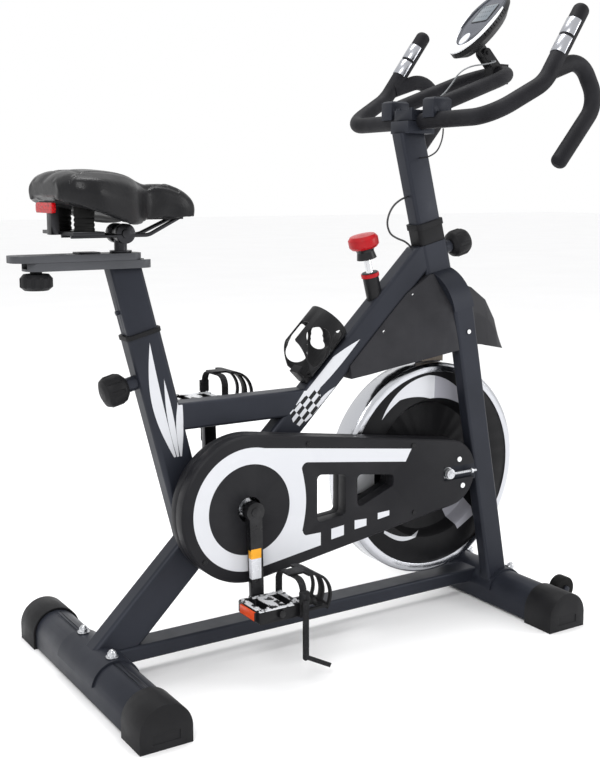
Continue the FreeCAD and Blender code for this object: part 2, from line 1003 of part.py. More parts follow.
def axle_parts():
    """The wheel axle with its nuts, washers and tension screw."""
    axle = rod_y(S.axle_radius, S.wheel_x, S.wheel_z, -92, 82)
    spacers = [
        rod_y(10, S.wheel_x, S.wheel_z, -70, -66.3),
        rod_y(10, S.wheel_x, S.wheel_z, float(S.wheel_hub_radius) + 0.3, 56),
    ]
    fittings = []
    for y0, out in ((-78, -1), (64, 1)):
        for radius, start, thick in ((12, 0, 2), (11, 2, 6)):
            ends = sorted((y0 + out * start, y0 + out * (start + thick)))
            flange = rod_y(radius, S.wheel_x, S.wheel_z, *ends)
            hole = rod_y(S.axle_radius, S.wheel_x, S.wheel_z, *ends)
            fittings.append(cut(flange, hole))
    eye = cut(
        rod_y(10, S.wheel_x, S.wheel_z, -91, -86),
        rod_y(S.axle_radius, S.wheel_x, S.wheel_z, -92, -85),
    )
    stem = rod(3, 58, at(S.wheel_x + 9, -88.5, S.wheel_z), X_AXIS)
    nut = rod(6, 5, at(S.wheel_x + 52, -88.5, S.wheel_z), X_AXIS)
    keep("wheel_axle", fuse(axle, *spacers, *fittings, eye, stem, nut))


# --------------------------------------------------------------------- crank


def crank_end(side):
    """The pedal spindle centre of one crank: down on the right, up on the left."""
    angle = math.radians(float(S.crank_angle))
    reach = float(S.crank_length)
    x = reach * math.sin(angle)
    z = -reach * math.cos(angle)
    return (x * -side, float(S.crank_z) + z * -side)


def crank_arm(name, side, inner_y):
    """One crank arm: boss, tapered arm, eye, and the pedal spindle fixed in it."""
    x, z = crank_end(side)
    y0 = side * float(inner_y)
    y1 = side * (float(inner_y) + float(S.crank_thick))
    ends = sorted((y0, y1))
    boss_ends = sorted((y0 - side * 4, y1))
    boss = rod_y(S.crank_boss_radius, 0, S.crank_z, *boss_ends)
    eye = rod_y(S.crank_eye_radius, x, z, *ends)
    sign = -side
    arm = padded(
        f"{name}_arm",
        [
            (-13, 0),
            (13, 0),
            (11.5, S.crank_length),
            (-11.5, S.crank_length),
        ],
        S.crank_thick,
        FreeCAD.Placement(
            at(0, (y0 + y1) / 2, S.crank_z),
            turn(Y_AXIS, (180 if sign > 0 else 0) - float(S.crank_angle)),
        ),
    )
    bore = rod_y(S.bottom_axle_radius, 0, S.crank_z, *sorted((y0 - side * 8, y1 - side * 3)))
    cap = rod_y(9, 0, S.crank_z, *sorted((y1, y1 + side * 2)))
    out = side * (float(inner_y) + float(S.crank_thick))
    spindle_ends = sorted((out - side * 4, out + side * (float(S.pedal_wide) + 10)))
    spindle = rod_y(S.spindle_radius, x, z, *spindle_ends)
    collar = rod_y(9, x, z, *sorted((out, out + side * 5)))
    keep(name, cut(fuse(boss, eye, arm, cap, spindle, collar), bore))


def crank_parts():
    """The crank axle, its bearing cups and both arms."""
    right_end = -float(S.crank_right_y) - float(S.crank_thick) + 3
    left_end = float(S.crank_left_y) + float(S.crank_thick) - 3
    keep("crank_axle", rod_y(S.bottom_axle_radius, 0, S.crank_z, right_end, left_end))
    cups = []
    for side in (-1, 1):
        edge = side * float(S.bottom_shell_half)
        sleeve = rod_y(20, 0, S.crank_z, *sorted((edge - side * 20, edge)))
        flange = rod_y(26, 0, S.crank_z, *sorted((edge, edge + side * 4)))
        way = rod_y(S.bottom_axle_radius + S.running_gap, 0, S.crank_z, -50, 50)
        cups.append(cut(fuse(sleeve, flange), way))
    keep("bearing_cups", group(*cups))
    crank_arm("crank_right", -1, S.crank_right_y)
    crank_arm("crank_left", 1, S.crank_left_y)


def pedal_places():
    """Each pedal's side and the frame at its middle."""
    for side, name, inner in (
        (-1, "right", S.crank_right_y),
        (1, "left", S.crank_left_y),
    ):
        x, z = crank_end(side)
        y = side * (float(inner) + float(S.crank_thick) + 6 + float(S.pedal_wide) / 2)
        yield side, name, frame_at(x, y, z)


def pedal(side, name, place):
    """A platform pedal: rails, barrel, tread plates and a rear reflector."""
    half_x = S.pedal_long / 2
    half_y = S.pedal_wide / 2
    half_z = S.pedal_thick / 2
    whole = slab(place, (-half_x, half_x), (-half_y, half_y), (-half_z, half_z))
    whole = rounded(whole, 4, along(Y_AXIS))
    wells = []
    for x0, x1 in ((-33, -14), (14, 33)):
        wells.append(slab(place, (x0, x1), (-28, 28), (-20, 20)))
    teeth = []
    for x in (-40, -24, 24, 40):
        for y in (-30, -18, 18, 30):
            teeth.append(box(3, 6, 3, local(place, x, y, half_z + 1)))
    bore_y = local(place, 0, -half_y - 5, 0)
    bore = rod(S.spindle_radius + S.running_gap, S.pedal_wide + 10, bore_y, Y_AXIS)
    reflector = slab(place, (-half_x - 4, -half_x), (-26, 26), (-8, 8))
    slot = slab(place, (35, 49), (-half_y - 1, half_y + 1), (-20, -half_z + 1.5))
    keep(f"pedal_{name}", cut(fuse(whole, reflector, *teeth), bore, slot, *wells))


def toe_cage(name, place):
    """A sprung plastic cage that stops the toe, with openings either side."""
    centre = (64, 14)
    across = place.Rotation.multVec(Y_AXIS)
    start = local(place, centre[0], -32, centre[1])
    band = cut(rod(46, 64, start, across), rod(42, 64, start, across))
    rear = slab(place, (10, centre[0] - 4), (-40, 40), (-60, 80))
    lower = slab(place, (centre[0] - 5, 101), (-40, 40), (-60, -9))
    arch = cut(band, rear, lower)
    foot = slab(place, (S.pedal_long / 2, 100), (-32, 32), (-9, -5))
    tongue = slab(place, (30, 62), (-14, 14), (56, 60))
    windows = []
    for y0, y1 in ((-25, -8), (8, 25)):
        windows.append(slab(place, (70, 130), (y0, y1), (-4, 50)))
        windows.append(slab(place, (56, 84), (y0, y1), (-20, 0)))
    keep(f"toe_cage_{name}", cut(fuse(arch, foot, tongue), *windows))


def strap(side, name, place):
    """A strap round the pedal with its buckle and a loose tail."""
    top = 55.7
    thick = 2.5
    outer = slab(place, (35.5, 48.5), (-43, 43), (-13, top))
    outer = rounded(outer, 22, strap_shoulders(place, top - 1))
    inner = slab(place, (30, 60), (thick - 43, 43 - thick), (-10.6, top - thick))
    inner = rounded(inner, 22 - thick, strap_shoulders(place, top - thick - 1))
    hug = slab(place, (30, 60), (-S.pedal_wide / 2, S.pedal_wide / 2), (-10.6, 12))
    ring = cut(outer, fuse(inner, hug))
    out = side * 43.0
    buckle = box(17, 8, 22, local(place, 42, out + side * 2.5, 24))
    drop = box(12, 2.5, 106, local(place, 42, out + side * 7.7, -33))
    tail = box(60, 2.5, 8, local(place, 68, out + side * 7.7, -98), turn(Y_AXIS, 28))
    bend = rod(6, 2.5, local(place, 42, out + side * 7.7 - 1.25, -85), Y_AXIS)
    keep(f"strap_{name}", fuse(ring, buckle, drop, bend, tail))


def strap_shoulders(place, height):
    """Picks the two upper edges of a strap's loop, above a local height."""
    level = local(place, 0, 0, height).z
    lengthwise = along(X_AXIS)
    return lambda edge: lengthwise(edge) and edge.Vertexes[0].Point.z > level


def pedals():
    """Both pedals with their cages and straps."""
    for side, name, place in pedal_places():
        pedal(side, name, place)
        toe_cage(name, place)
        strap(side, name, place)


# -------------------------------------------------------- guard and wheel cover


def window_faces(grow):
    """The two openings of the guard, grown outward by a margin."""
    outlines = (
        ((145, 345), (210, 337), (210, 258), (145, 252)),
        ((237, 333), (324, 321), (324, 299), (237, 265)),
    )
    faces = []
    for outline in outlines:
        points = [at(x, 0, z) for x, z in outline]
        face = Part.Face(Part.makePolygon(points + points[:1]))
        prism = face.extrude(V(0, 10, 0))
        upright = [e for e in prism.Edges if along(Y_AXIS)(e)]
        round_face = prism.makeFillet(9, upright)
        side = next(f for f in round_face.Faces if at_y(0)(f))
        faces.append(side.makeOffset2D(grow) if grow else side)
    return faces


def window_blocks(grow, y0, y1):
    """The openings as solids between two Y values."""
    blocks = []
    for face in window_faces(grow):
        moved = face.copy()
        moved.translate(V(0, y0, 0))
        blocks.append(moved.extrude(V(0, y1 - y0, 0)))
    return blocks


def guard_half(y0, y1, wall_y0, wall_y1):
    """One half shell: side wall, flat wall and a rim round each opening."""
    rear = S.guard_rear_radius
    front = S.guard_front_radius
    skin = float(S.shell_skin)
    outer = loop_outline(rear, front, y0, y1)
    if wall_y0 == y0:
        edges = [edge for edge in outer.Edges if at_y(y0)(edge)]
        outer = outer.makeChamfer(3.4, edges)
    cavity_ends = (wall_y1, y1 + 1) if wall_y0 == y0 else (y0 - 1, wall_y0)
    cavity = loop_outline(rear - skin, front - skin, *cavity_ends)
    shell = outer.cut(cavity)
    rims = window_blocks(skin, y0 + (1 if wall_y0 == y0 else 0), y1)
    for rim in rims:
        shell = shell.fuse(rim)
    for opening in window_blocks(0, y0 - 5, y1 + 5):
        shell = shell.cut(opening)
    return shell


def disc_y(radius, x, z, y0, y1):
    """A plain cylinder shape across the bike."""
    return Part.makeCylinder(float(radius), y1 - y0, at(x, y0, z), Y_AXIS)


def guard_parts(screws):
    """The two half shells of the chain guard."""
    skin = float(S.shell_skin)
    outer_y = -float(S.guard_outer)
    split_y = -float(S.guard_split)
    inner_y = -float(S.guard_inner)
    outer = guard_half(outer_y, split_y, outer_y, outer_y + skin)
    outer = outer.cut(disc_y(24, 0, S.crank_z, outer_y - 1, outer_y + 9))
    slot = Part.makeBox(110, 14, 28, at(S.wheel_x - 14, outer_y - 4, S.wheel_z - 14))
    notch = Part.makeBox(60, 12, 48, at(S.wheel_x + 38, -81, S.wheel_z - 24))
    outer = outer.cut(slot).cut(notch)
    for screw in screws:
        outer = outer.cut(screw)
    keep("guard_outer", shape_part("guard_outer", outer))
    inner = guard_half(split_y, inner_y, inner_y - skin, inner_y)
    inner = inner.cut(disc_y(28, 0, S.crank_z, inner_y - 4, inner_y + 1))
    inner = inner.cut(disc_y(40, S.wheel_x, S.wheel_z, inner_y - 4, inner_y + 1))
    keep("guard_inner", shape_part("guard_inner", inner))


COVER_STATIONS = (
    # x, top, half width there, middle, half width there, low edge, half width there
    (262, 533, 23, 520, 26, 508, 28),
    (300, 571, 23, 543, 32, 515, 37),
    (345, 616, 23, 572, 41, 525, 48),
    (400, 669, 23, 606, 54, 536, 61),
    (455, 704, 26, 636, 69, 547, 73),
    (485, 708, 34, 646, 76, 553, 79),
    (545, 708, 44, 650, 79, 562, 79.5),
)

NOSE_STATIONS = (
    (478, 690, 24, 640, 40, 553, 44),
    (520, 688, 28, 640, 42, 558, 44),
    (560, 674, 30, 628, 42, 557, 43),
    (600, 646, 29, 606, 38, 552, 40),
    (628, 604, 26, 578, 34, 545, 37),
    (650, 552, 20, 546, 26, 540, 30),
)

NOSE_WALL = 2.0


def cover_loft(stations, skin):
    """A wheel cover shape through its stations, drawn in by a skin and open below."""
    wires = []
    for x, top, half_top, middle, half_middle, low, half_low in stations:
        floor = low - 2 * skin
        right = [
            at(x, -(half_low - skin), floor),
            at(x, -(half_middle - skin), middle - skin / 2),
            at(x, -(half_top - skin), top - skin),
        ]
        left = [V(point.x, -point.y, point.z) for point in reversed(right)]
        wires.append(Part.makePolygon(right + left + right[:1]))
    return Part.makeLoft(wires, True, True)


def moved_ends(stations, rear, front):
    """The same stations with the first and the last moved along the bike."""
    first = (stations[0][0] + rear,) + stations[0][1:]
    last = (stations[-1][0] + front,) + stations[-1][1:]
    return (first,) + stations[1:-1] + (last,)


def cover_screws():
    """Bright screws of the guard and the wheel cover, as plain shapes."""
    outer = -float(S.guard_outer) + 2.4
    places = []
    # x, y, z, side, shank length, head radius
    for x, z in ((125, 407), (371, 373), (-93, 218), (375, 236)):
        places.append((x, outer, z, -1, 4.4, 4.5))
    for x, z in ((490, 330), (500, 274)):
        places.append((x, outer, z, -1, 4.4, 5.5))
    for side in (-1, 1):
        places.append((411, side * 20.2, 664, side, 8.0, 4.0))
        places.append((340, side * 20.2, 595, side, 8.0, 4.0))
        places.append((512, side * S.leg_outer, 590, side, 3.0, 4.5))
    shapes = []
    for x, y, z, side, reach, radius in places:
        out = V(0, side, 0)
        shank = Part.makeCylinder(2, reach, at(x, y, z), out)
        start = at(x, y + side * (reach - 2), z)
        head = Part.makeCylinder(radius, 2, start, out)
        rim = [edge for edge in head.Edges if at_y(start.y + side * 2)(edge)]
        shapes.append(shank.fuse(head.makeFillet(0.8, rim)))
    return shapes


def behind_legs(shape, gap):
    """What lies behind the plane of the fork legs' rear faces, less a gap."""
    place = leg_frame()
    start = -float(S.leg_deep) / 2 - gap
    ahead = Part.makeBox(300, 400, 400)
    ahead.Placement = FreeCAD.Placement(local(place, start, -200, 380), place.Rotation)
    return shape.cut(ahead)


def cover_parts(screws):
    """Two half shells that cover the top of the wheel, and their nose between the legs."""
    skin = float(S.shell_skin)
    nose = cover_loft(NOSE_STATIONS, 0)
    solid = behind_legs(cover_loft(COVER_STATIONS, 0), 0.3).fuse(nose)
    inner = cover_loft(moved_ends(COVER_STATIONS, skin + 0.5, 0), skin)
    inner_nose = cover_loft(moved_ends(NOSE_STATIONS, -10, -NOSE_WALL), skin)
    shell = solid.cut(behind_legs(inner, skin + 0.3).fuse(inner_nose))
    tubes = [head_tube(), main_tube(), *fork()]
    doc.recompute()
    for tube in tubes:
        shell = shell.cut(tube.Shape)
    for side, label in ((-1, "cover_right"), (1, "cover_left")):
        half = shell.common(Part.makeBox(900, 200, 900, at(0, min(0, side * 200), 200)))
        for screw in screws:
            half = half.cut(screw)
        largest = max(half.Solids, key=lambda piece: piece.Volume)
        keep(label, shape_part(label, largest))


# --------------------------------------------------------------------- brake


def brake_parts():
    """Red knob, rod, sleeve, pivoting arm and felt pad."""
    place = brake_frame()
    up = place.Rotation.multVec(Z_AXIS)
    line = main_frame_line()
    sleeve = rod(S.brake_sleeve_radius, S.brake_sleeve_length + 26, local(place, 0, 0, -26), up)
    ring = rod(S.brake_sleeve_radius + 2, 7, local(place, 0, 0, 41), up)
    way = rod(S.brake_rod_radius + 0.1, 120, local(place, 0, 0, -40), up)
    main = beam(line, S.main_tube_height, S.main_tube_width, 200, 648, 8)
    keep("brake_sleeve", cut(fuse(sleeve, ring), way, main))
    keep("brake_rod", rod(S.brake_rod_radius, 205, local(place, 0, 0, -112.5), up))
    bore = S.brake_rod_radius + S.running_gap
    knob = turned(
        "brake_knob",
        [
            (bore, 78),
            (20, 78),
            (17, 92),
            (19, 97),
            (S.brake_knob_radius - 4, 100),
            (S.brake_knob_radius, 105),
            (S.brake_knob_radius, 119),
            (S.brake_knob_radius - 5, 125),
            (0, 127),
            (0, 92.6),
            (bore, 92.6),
        ],
        place,
    )
    keep("brake_knob", knob)
    tilt = turn(Y_AXIS, -3.66)
    bar = box(168, 16, 6, at(396, 0, 550.6), tilt)
    hub = rod_y(9, 308, 545, -11.8, 11.8)
    pin = brake_pivot(-18, 18, 4)
    shoe = box(54, 28, 7, at(475, 0, 549))
    keep("brake_arm", fuse(bar, hub, pin, shoe))
    pad = box(52, 28, 27, at(475, 0, 532))
    rim = rod_y(S.wheel_radius + 3, S.wheel_x, S.wheel_z, -60, 60)
    keep("brake_pad", cut(pad, rim))


def bottle_cage():
    """A moulded bottle cage on top of the main tube: a ring with a wing each side."""
    line = main_frame_line()
    top = -float(S.main_tube_height) / 2
    up = line.Rotation.multVec(Z_AXIS)
    out = line.Rotation.multVec(-X_AXIS)
    plate = slab(line, (top - 4, top), (-10, 10), (264, 395))
    foot = slab(line, (top - 30, top - 3), (-14, 14), (264, 268))
    lip = slab(line, (top - 34, top - 30), (-14, 14), (264, 280))
    centre = local(line, top - 43, 0, 276)
    sleeve = cut(rod(42, 112, centre, up), rod(38.5, 112, centre, up))
    across = line.Rotation.multVec(Y_AXIS)
    windows = []
    for x, z, radius, stretch in ((-46, 322, 24, 14), (-22, 358, 12, 10)):
        for shift in (-stretch, 0, stretch):
            start = local(line, top + x - shift * 0.55, -60, z + shift * 0.84)
            windows.append(rod(radius, 120, start, across))
    slit = slab(line, (top - 100, top - 60), (-13, 13), (260, 350))
    low_rear = slab(
        FreeCAD.Placement(local(line, top - 30, 0, 276), line.Rotation * turn(Y_AXIS, 30)),
        (-90, 0),
        (-60, 60),
        (-60, 0),
    )
    bolts = [rod(5, 3, local(line, top - 4, 0, z), out) for z in (286, 350)]
    lowered = slab(line, (top, 30), (-60, 60), (200, 420))
    ring = cut(sleeve, slit, low_rear, *windows)
    keep("bottle_cage", cut(fuse(plate, foot, lip, ring, *bolts), lowered))


# ---------------------------------------------------------------------- seat


def post(label, place, low, high, top_z, hole_x, hole_z, stop_z, numbers):
    """A hollow post with a row of pin holes and a stop screw."""
    solid = beam(place, S.post_deep, S.post_wide, low, high, S.post_round)
    wall = float(S.tube_wall) * 2
    core = beam(place, S.post_deep - wall, S.post_wide - wall, low - 1, high - 12, 4)
    out = place.Rotation.multVec(V(math.copysign(1, hole_x), 0, 0))
    holes = []
    for number in numbers:
        start = local(place, hole_x - math.copysign(5, hole_x), 0, hole_z + number * 20)
        holes.append(rod(6.5, 8, start, out))
    above = slab(frame_at(0, 0, float(top_z)), (-900, 900), (-60, 60), (0, 60))
    stop = rod(4, 5, local(place, hole_x, 0, stop_z), out)
    keep(label, fuse(cut(solid, core, above, *holes), stop))


def seat_parts():
    """Seat post, slide base, sliding rail with its pillar, and the lock knob."""
    deep = float(S.post_deep) / 2
    post("seat_post", seat_frame(), -190, 150, S.slide_low, -deep, -78, 50, range(-5, 2))
    origin = frame_at(0, 0, 0)
    half = S.slide_width / 2
    base = slab(origin, (-375, -152), (-half, half), (S.slide_low, S.slide_split))
    base = rounded(base, 22, along(Z_AXIS))
    groove = slab(origin, (-380, -148), (-14, 14), (S.slide_low + 4, 770))
    stem_way = rod(5, 10, at(-354, 0, 738), Z_AXIS)
    keep("slide_base", cut(base, groove, stem_way))
    low = S.slide_split + 0.3
    rail = slab(origin, (-400, -170), (-half, half), (low, S.slide_high))
    rail = rounded(rail, 22, along(Z_AXIS))
    tongue = slab(origin, (-330, -205), (-13.7, 13.7), (S.slide_low + 4.3, low))
    seam = slab(origin, (-385, -300), (-6, 6), (S.slide_high - 3, 775))
    keep("slide_rail", cut(fuse(rail, tongue), seam))
    pillar = rod(11, 33, at(S.saddle_x, 0, S.slide_high), Z_AXIS)
    flange = rod(19, 4, at(S.saddle_x, 0, S.slide_high), Z_AXIS)
    knuckle = rod_y(14, S.saddle_x, S.saddle_pivot_z, -11, 11)
    way = rod_y(4 + S.running_gap, S.saddle_x, S.saddle_pivot_z, -20, 20)
    plate = box(38, 30, 3, at(-265, 0, float(S.slide_high) + 1.5))
    keep("saddle_pillar", group(cut(fuse(pillar, flange, knuckle), way), plate))
    knob = turned(
        "slide_knob",
        [
            (0, -32),
            (20, -32),
            (27, -26),
            (27, -12),
            (21, -5),
            (10, -4),
            (10, -0.3),
            (4.95, -0.3),
            (4.95, 3.6),
            (0, 3.6),
        ],
        frame_at(-354, 0, S.slide_low),
    )
    flutes = []
    for number in range(12):
        angle = math.radians(number * 30)
        foot = at(-354 + 29 * math.cos(angle), 29 * math.sin(angle), S.slide_low - 40)
        flutes.append(rod(4, 36, foot, Z_AXIS))
    keep("slide_knob", cut(knob, *flutes))


SADDLE_STATIONS = (
    # x, half width, underside, skirt, top
    (-64, 13, 829, 827, 846),
    (-70, 21, 829, 825, 860),
    (-92, 28, 829, 823, 876),
    (-128, 31, 829, 821, 886),
    (-162, 35, 829, 818, 884),
    (-182, 50, 830, 811, 889),
    (-204, 74, 833, 807, 898),
    (-235, 96, 838, 815, 904),
    (-285, 117, 848, 832, 907),
    (-320, 106, 856, 845, 902),
    (-340, 74, 862, 853, 888),
)

SKIRT_INSIDE = 0.72


def saddle_loft(section, stations):
    """A ruled solid through one outline per saddle station."""
    wires = []
    for x, *sizes in stations:
        corners = [at(x, y, z) for y, z in section(*sizes)]
        wires.append(Part.makePolygon(corners + corners[:1]))
    return Part.makeLoft(wires, True, True)


def cushion_section(half, low, skirt, high):
    """The crowned outline of the saddle cushion, with a skirt down each side."""
    rise = high - low
    right = [
        (SKIRT_INSIDE * half, low),
        (0.86 * half, skirt),
        (0.97 * half, skirt + 2),
        (half, low + 0.4 * rise),
        (0.92 * half, low + 0.7 * rise),
        (0.6 * half, low + 0.92 * rise),
    ]
    left = [(-y, z) for y, z in reversed(right)]
    return right + [(0, high)] + left


def pan_section(half, low, skirt, high):
    """The outline of the saddle's hard underside, inside the skirt."""
    reach = (SKIRT_INSIDE - 0.05) * half
    return [(-reach, low - 6), (reach, low - 6), (reach, low - 0.3), (-reach, low - 0.3)]


def above_pan(half, low, skirt, high):
    """A tall outline that holds everything above the underside of the pan."""
    return [(-140, low - 6), (140, low - 6), (140, 990), (-140, 990)]


def bumper(side):
    """One grooved rubber spring under the saddle, before it is trimmed."""
    place = at(-288, side * 52, 806)
    shape = Part.makeCylinder(17, 60, place, Z_AXIS)
    for rise in (7, 15, 23):
        shape = shape.cut(Part.makeTorus(18.5, 2.6, place + Z_AXIS * rise, Z_AXIS))
    return shape


def saddle_parts():
    """Cushion, pan, bumpers, under-frame with the tilt clamp, and reflector."""
    cushion = saddle_loft(cushion_section, SADDLE_STATIONS)
    keep("saddle_cushion", shape_part("saddle_cushion", cushion))
    pan = saddle_loft(pan_section, SADDLE_STATIONS[2:-1])
    keep("saddle_pan", shape_part("saddle_pan", pan))
    above = saddle_loft(above_pan, SADDLE_STATIONS)
    bumpers = Part.makeCompound([bumper(side).cut(above) for side in (-1, 1)])
    keep("saddle_bumpers", shape_part("saddle_bumpers", bumpers))
    frame = Part.makeBox(54, 144, 6, at(-315, -72, 800))
    for side in (-1, 1):
        route = [at(-300, side * 22, 797), at(-160, side * 22, 797), at(-98, side * 14, 826)]
        frame = frame.fuse(tube_shape(route, [30], 3.5))
        ends = sorted((side * 11.3, side * 25))
        frame = frame.fuse(disc_y(17, S.saddle_x, S.saddle_pivot_z, *ends))
        ends = sorted((side * 25, side * 29))
        frame = frame.fuse(disc_y(8, S.saddle_x, S.saddle_pivot_z, *ends))
    frame = frame.fuse(disc_y(4, S.saddle_x, S.saddle_pivot_z, -28, 28))
    arm = Part.makeBox(14, 20, 46, at(-329, -10, 800))
    frame = frame.fuse(arm).cut(above)
    keep("saddle_frame", shape_part("saddle_frame", frame))
    reflector = Part.makeBox(6, 80, 17, at(-337, -40, 836))
    corners = [e for e in reflector.Edges if along(X_AXIS)(e)]
    reflector = reflector.makeFillet(6, corners).cut(cushion)
    keep("saddle_reflector", shape_part("saddle_reflector", reflector))


# ----------------------------------------------------------------- handlebar


def bar_routes():
    """Centre lines of the handlebar: the main bar and the right-hand drop."""
    tips = [(633, -239, 1204), (540, -247, 1070), (S.bar_x, -225, S.bar_z)]
    right = [at(*point) for point in tips]
    left = [V(p.x, -p.y, p.z) for p in reversed(right)]
    hook = [(556, -243, 1090), (641, -236, 1119), (690, -235, 1040), (597, -235, 930)]
    return right + left, [at(*point) for point in hook]


def bar_shape(radius):
    """The whole handlebar at one radius."""
    main, drop = bar_routes()
    shape = tube_shape(main, [80, 60, 60, 80], radius)
    drop_shape = tube_shape(drop, [45, 50], radius)
    return shape.fuse([drop_shape, drop_shape.mirror(V(0, 0, 0), Y_AXIS)])


def loop_shape(wall):
    """The forearm loop ahead of the crossbar, less a wall."""
    points = [
        at(444, -67, 1038.4),
        at(642, -67, 1110.7),
        at(642, 67, 1110.7),
        at(444, 67, 1038.4),
    ]
    return tube_shape(points, [64, 64], float(S.loop_radius) - wall)


def bar_end(radius, tip, run):
    """A rounded plug that closes one end of the handlebar."""
    plug = Part.makeCylinder(radius, 15, tip, run)
    far = [edge for edge in plug.Edges if (edge.Vertexes[0].Point - tip).dot(run) > 14]
    far = [edge for edge in far if (edge.Vertexes[-1].Point - tip).dot(run) > 14]
    return plug.makeFillet(12, far)


def handlebar_parts():
    """Post, handlebar, forearm loop, clamps and pulse plates."""
    deep = float(S.post_deep) / 2
    post("handlebar_post", head_frame(), -138, 240, S.post_top_z, deep, -22, 116, range(-5, 3))
    radius = float(S.bar_radius)
    main, drop = bar_routes()
    bar = bar_shape(radius)
    bar = bar.cut(tube_shape(main, [80, 60, 60, 80], radius - 2.5))
    for tip, before in ((main[0], main[1]), (drop[-1], drop[-2])):
        end = bar_end(radius, tip, (tip - before).normalize())
        bar = bar.fuse([end, end.mirror(V(0, 0, 0), Y_AXIS)])
    keep("handlebar", shape_part("handlebar", bar))
    loop = loop_shape(0)
    keep("forearm_loop", shape_part("forearm_loop", loop.cut(loop_shape(2.5))))
    clamp = Part.makeBox(66, 56, 24, at(392, -28, S.post_top_z))
    clamp = clamp.fuse(Part.makeBox(54, 56, 20, at(401, -28, 1008.5)))
    for x in (406, 450):
        for y in (-20, 20):
            clamp = clamp.fuse(Part.makeCylinder(3, 40, at(x, y, 990), Z_AXIS))
            clamp = clamp.fuse(Part.makeCylinder(5.5, 4, at(x, y, 1028.5), Z_AXIS))
    solids = [clamp]
    for side in (-1, 1):
        block = Part.makeBox(44, 34, 38, at(410, side * 67 - 17, 1012))
        top = [e for e in block.Edges if all(v.Point.z > 1049 for v in e.Vertexes)]
        solids.append(block.makeChamfer(4, top))
    core = bar_shape(radius)
    solids = [s.cut(core).cut(loop) for s in solids]
    keep("bar_clamps", shape_part("bar_clamps", Part.makeCompound(solids)))
    keep("pulse_plates", shape_part("pulse_plates", pulse_plates(main, core)))


def pulse_plates(main, core):
    """Bright half sleeves on the rider's side of both horns."""
    plates = []
    foot, tip = main[1], main[0]
    run = (tip - foot).normalize()
    place = FreeCAD.Placement(foot, FreeCAD.Rotation(X_AXIS, V(0, 0, 0), run, "ZXY"))
    for low, high in ((62, 98), (104, 140)):
        sleeve = Part.makeCylinder(17.3, high - low, foot + run * low, run)
        keepers = Part.makeBox(80, 80, 400)
        keepers.Placement = FreeCAD.Placement(
            place.multVec(V(-80, -40, -100)), place.Rotation
        )
        half = sleeve.common(keepers).cut(core)
        plates.append(half)
        plates.append(half.mirror(V(0, 0, 0), Y_AXIS))
    return Part.makeCompound(plates)


# ------------------------------------------------------------------- console


def console_frame():
    """The console's lean: local Z faces the rider, local X runs up its face."""
    return frame_at(S.console_x, 0, S.console_z, S.console_lean)


def oval(place, long, wide, z):
    """An oval wire in the console's plane."""
    centre = local(place, 0, 0, z)
    normal = place.Rotation.multVec(Z_AXIS)
    along_x = centre + place.Rotation.multVec(X_AXIS) * float(long)
    along_y = centre + place.Rotation.multVec(Y_AXIS) * float(wide)
    ellipse = Part.Ellipse(along_x, along_y, centre)
    if ellipse.Axis.dot(normal) < 0:
        ellipse = Part.Ellipse(along_x, centre - (along_y - centre), centre)
    return Part.Wire([ellipse.toShape()])


def oval_block(place, long, wide, z0, z1):
    """A straight oval solid."""
    face = Part.Face(oval(place, long, wide, z0))
    return face.extrude(place.Rotation.multVec(Z_AXIS) * (z1 - z0))


CONSOLE_PIVOT = (-30.6, -53.0)


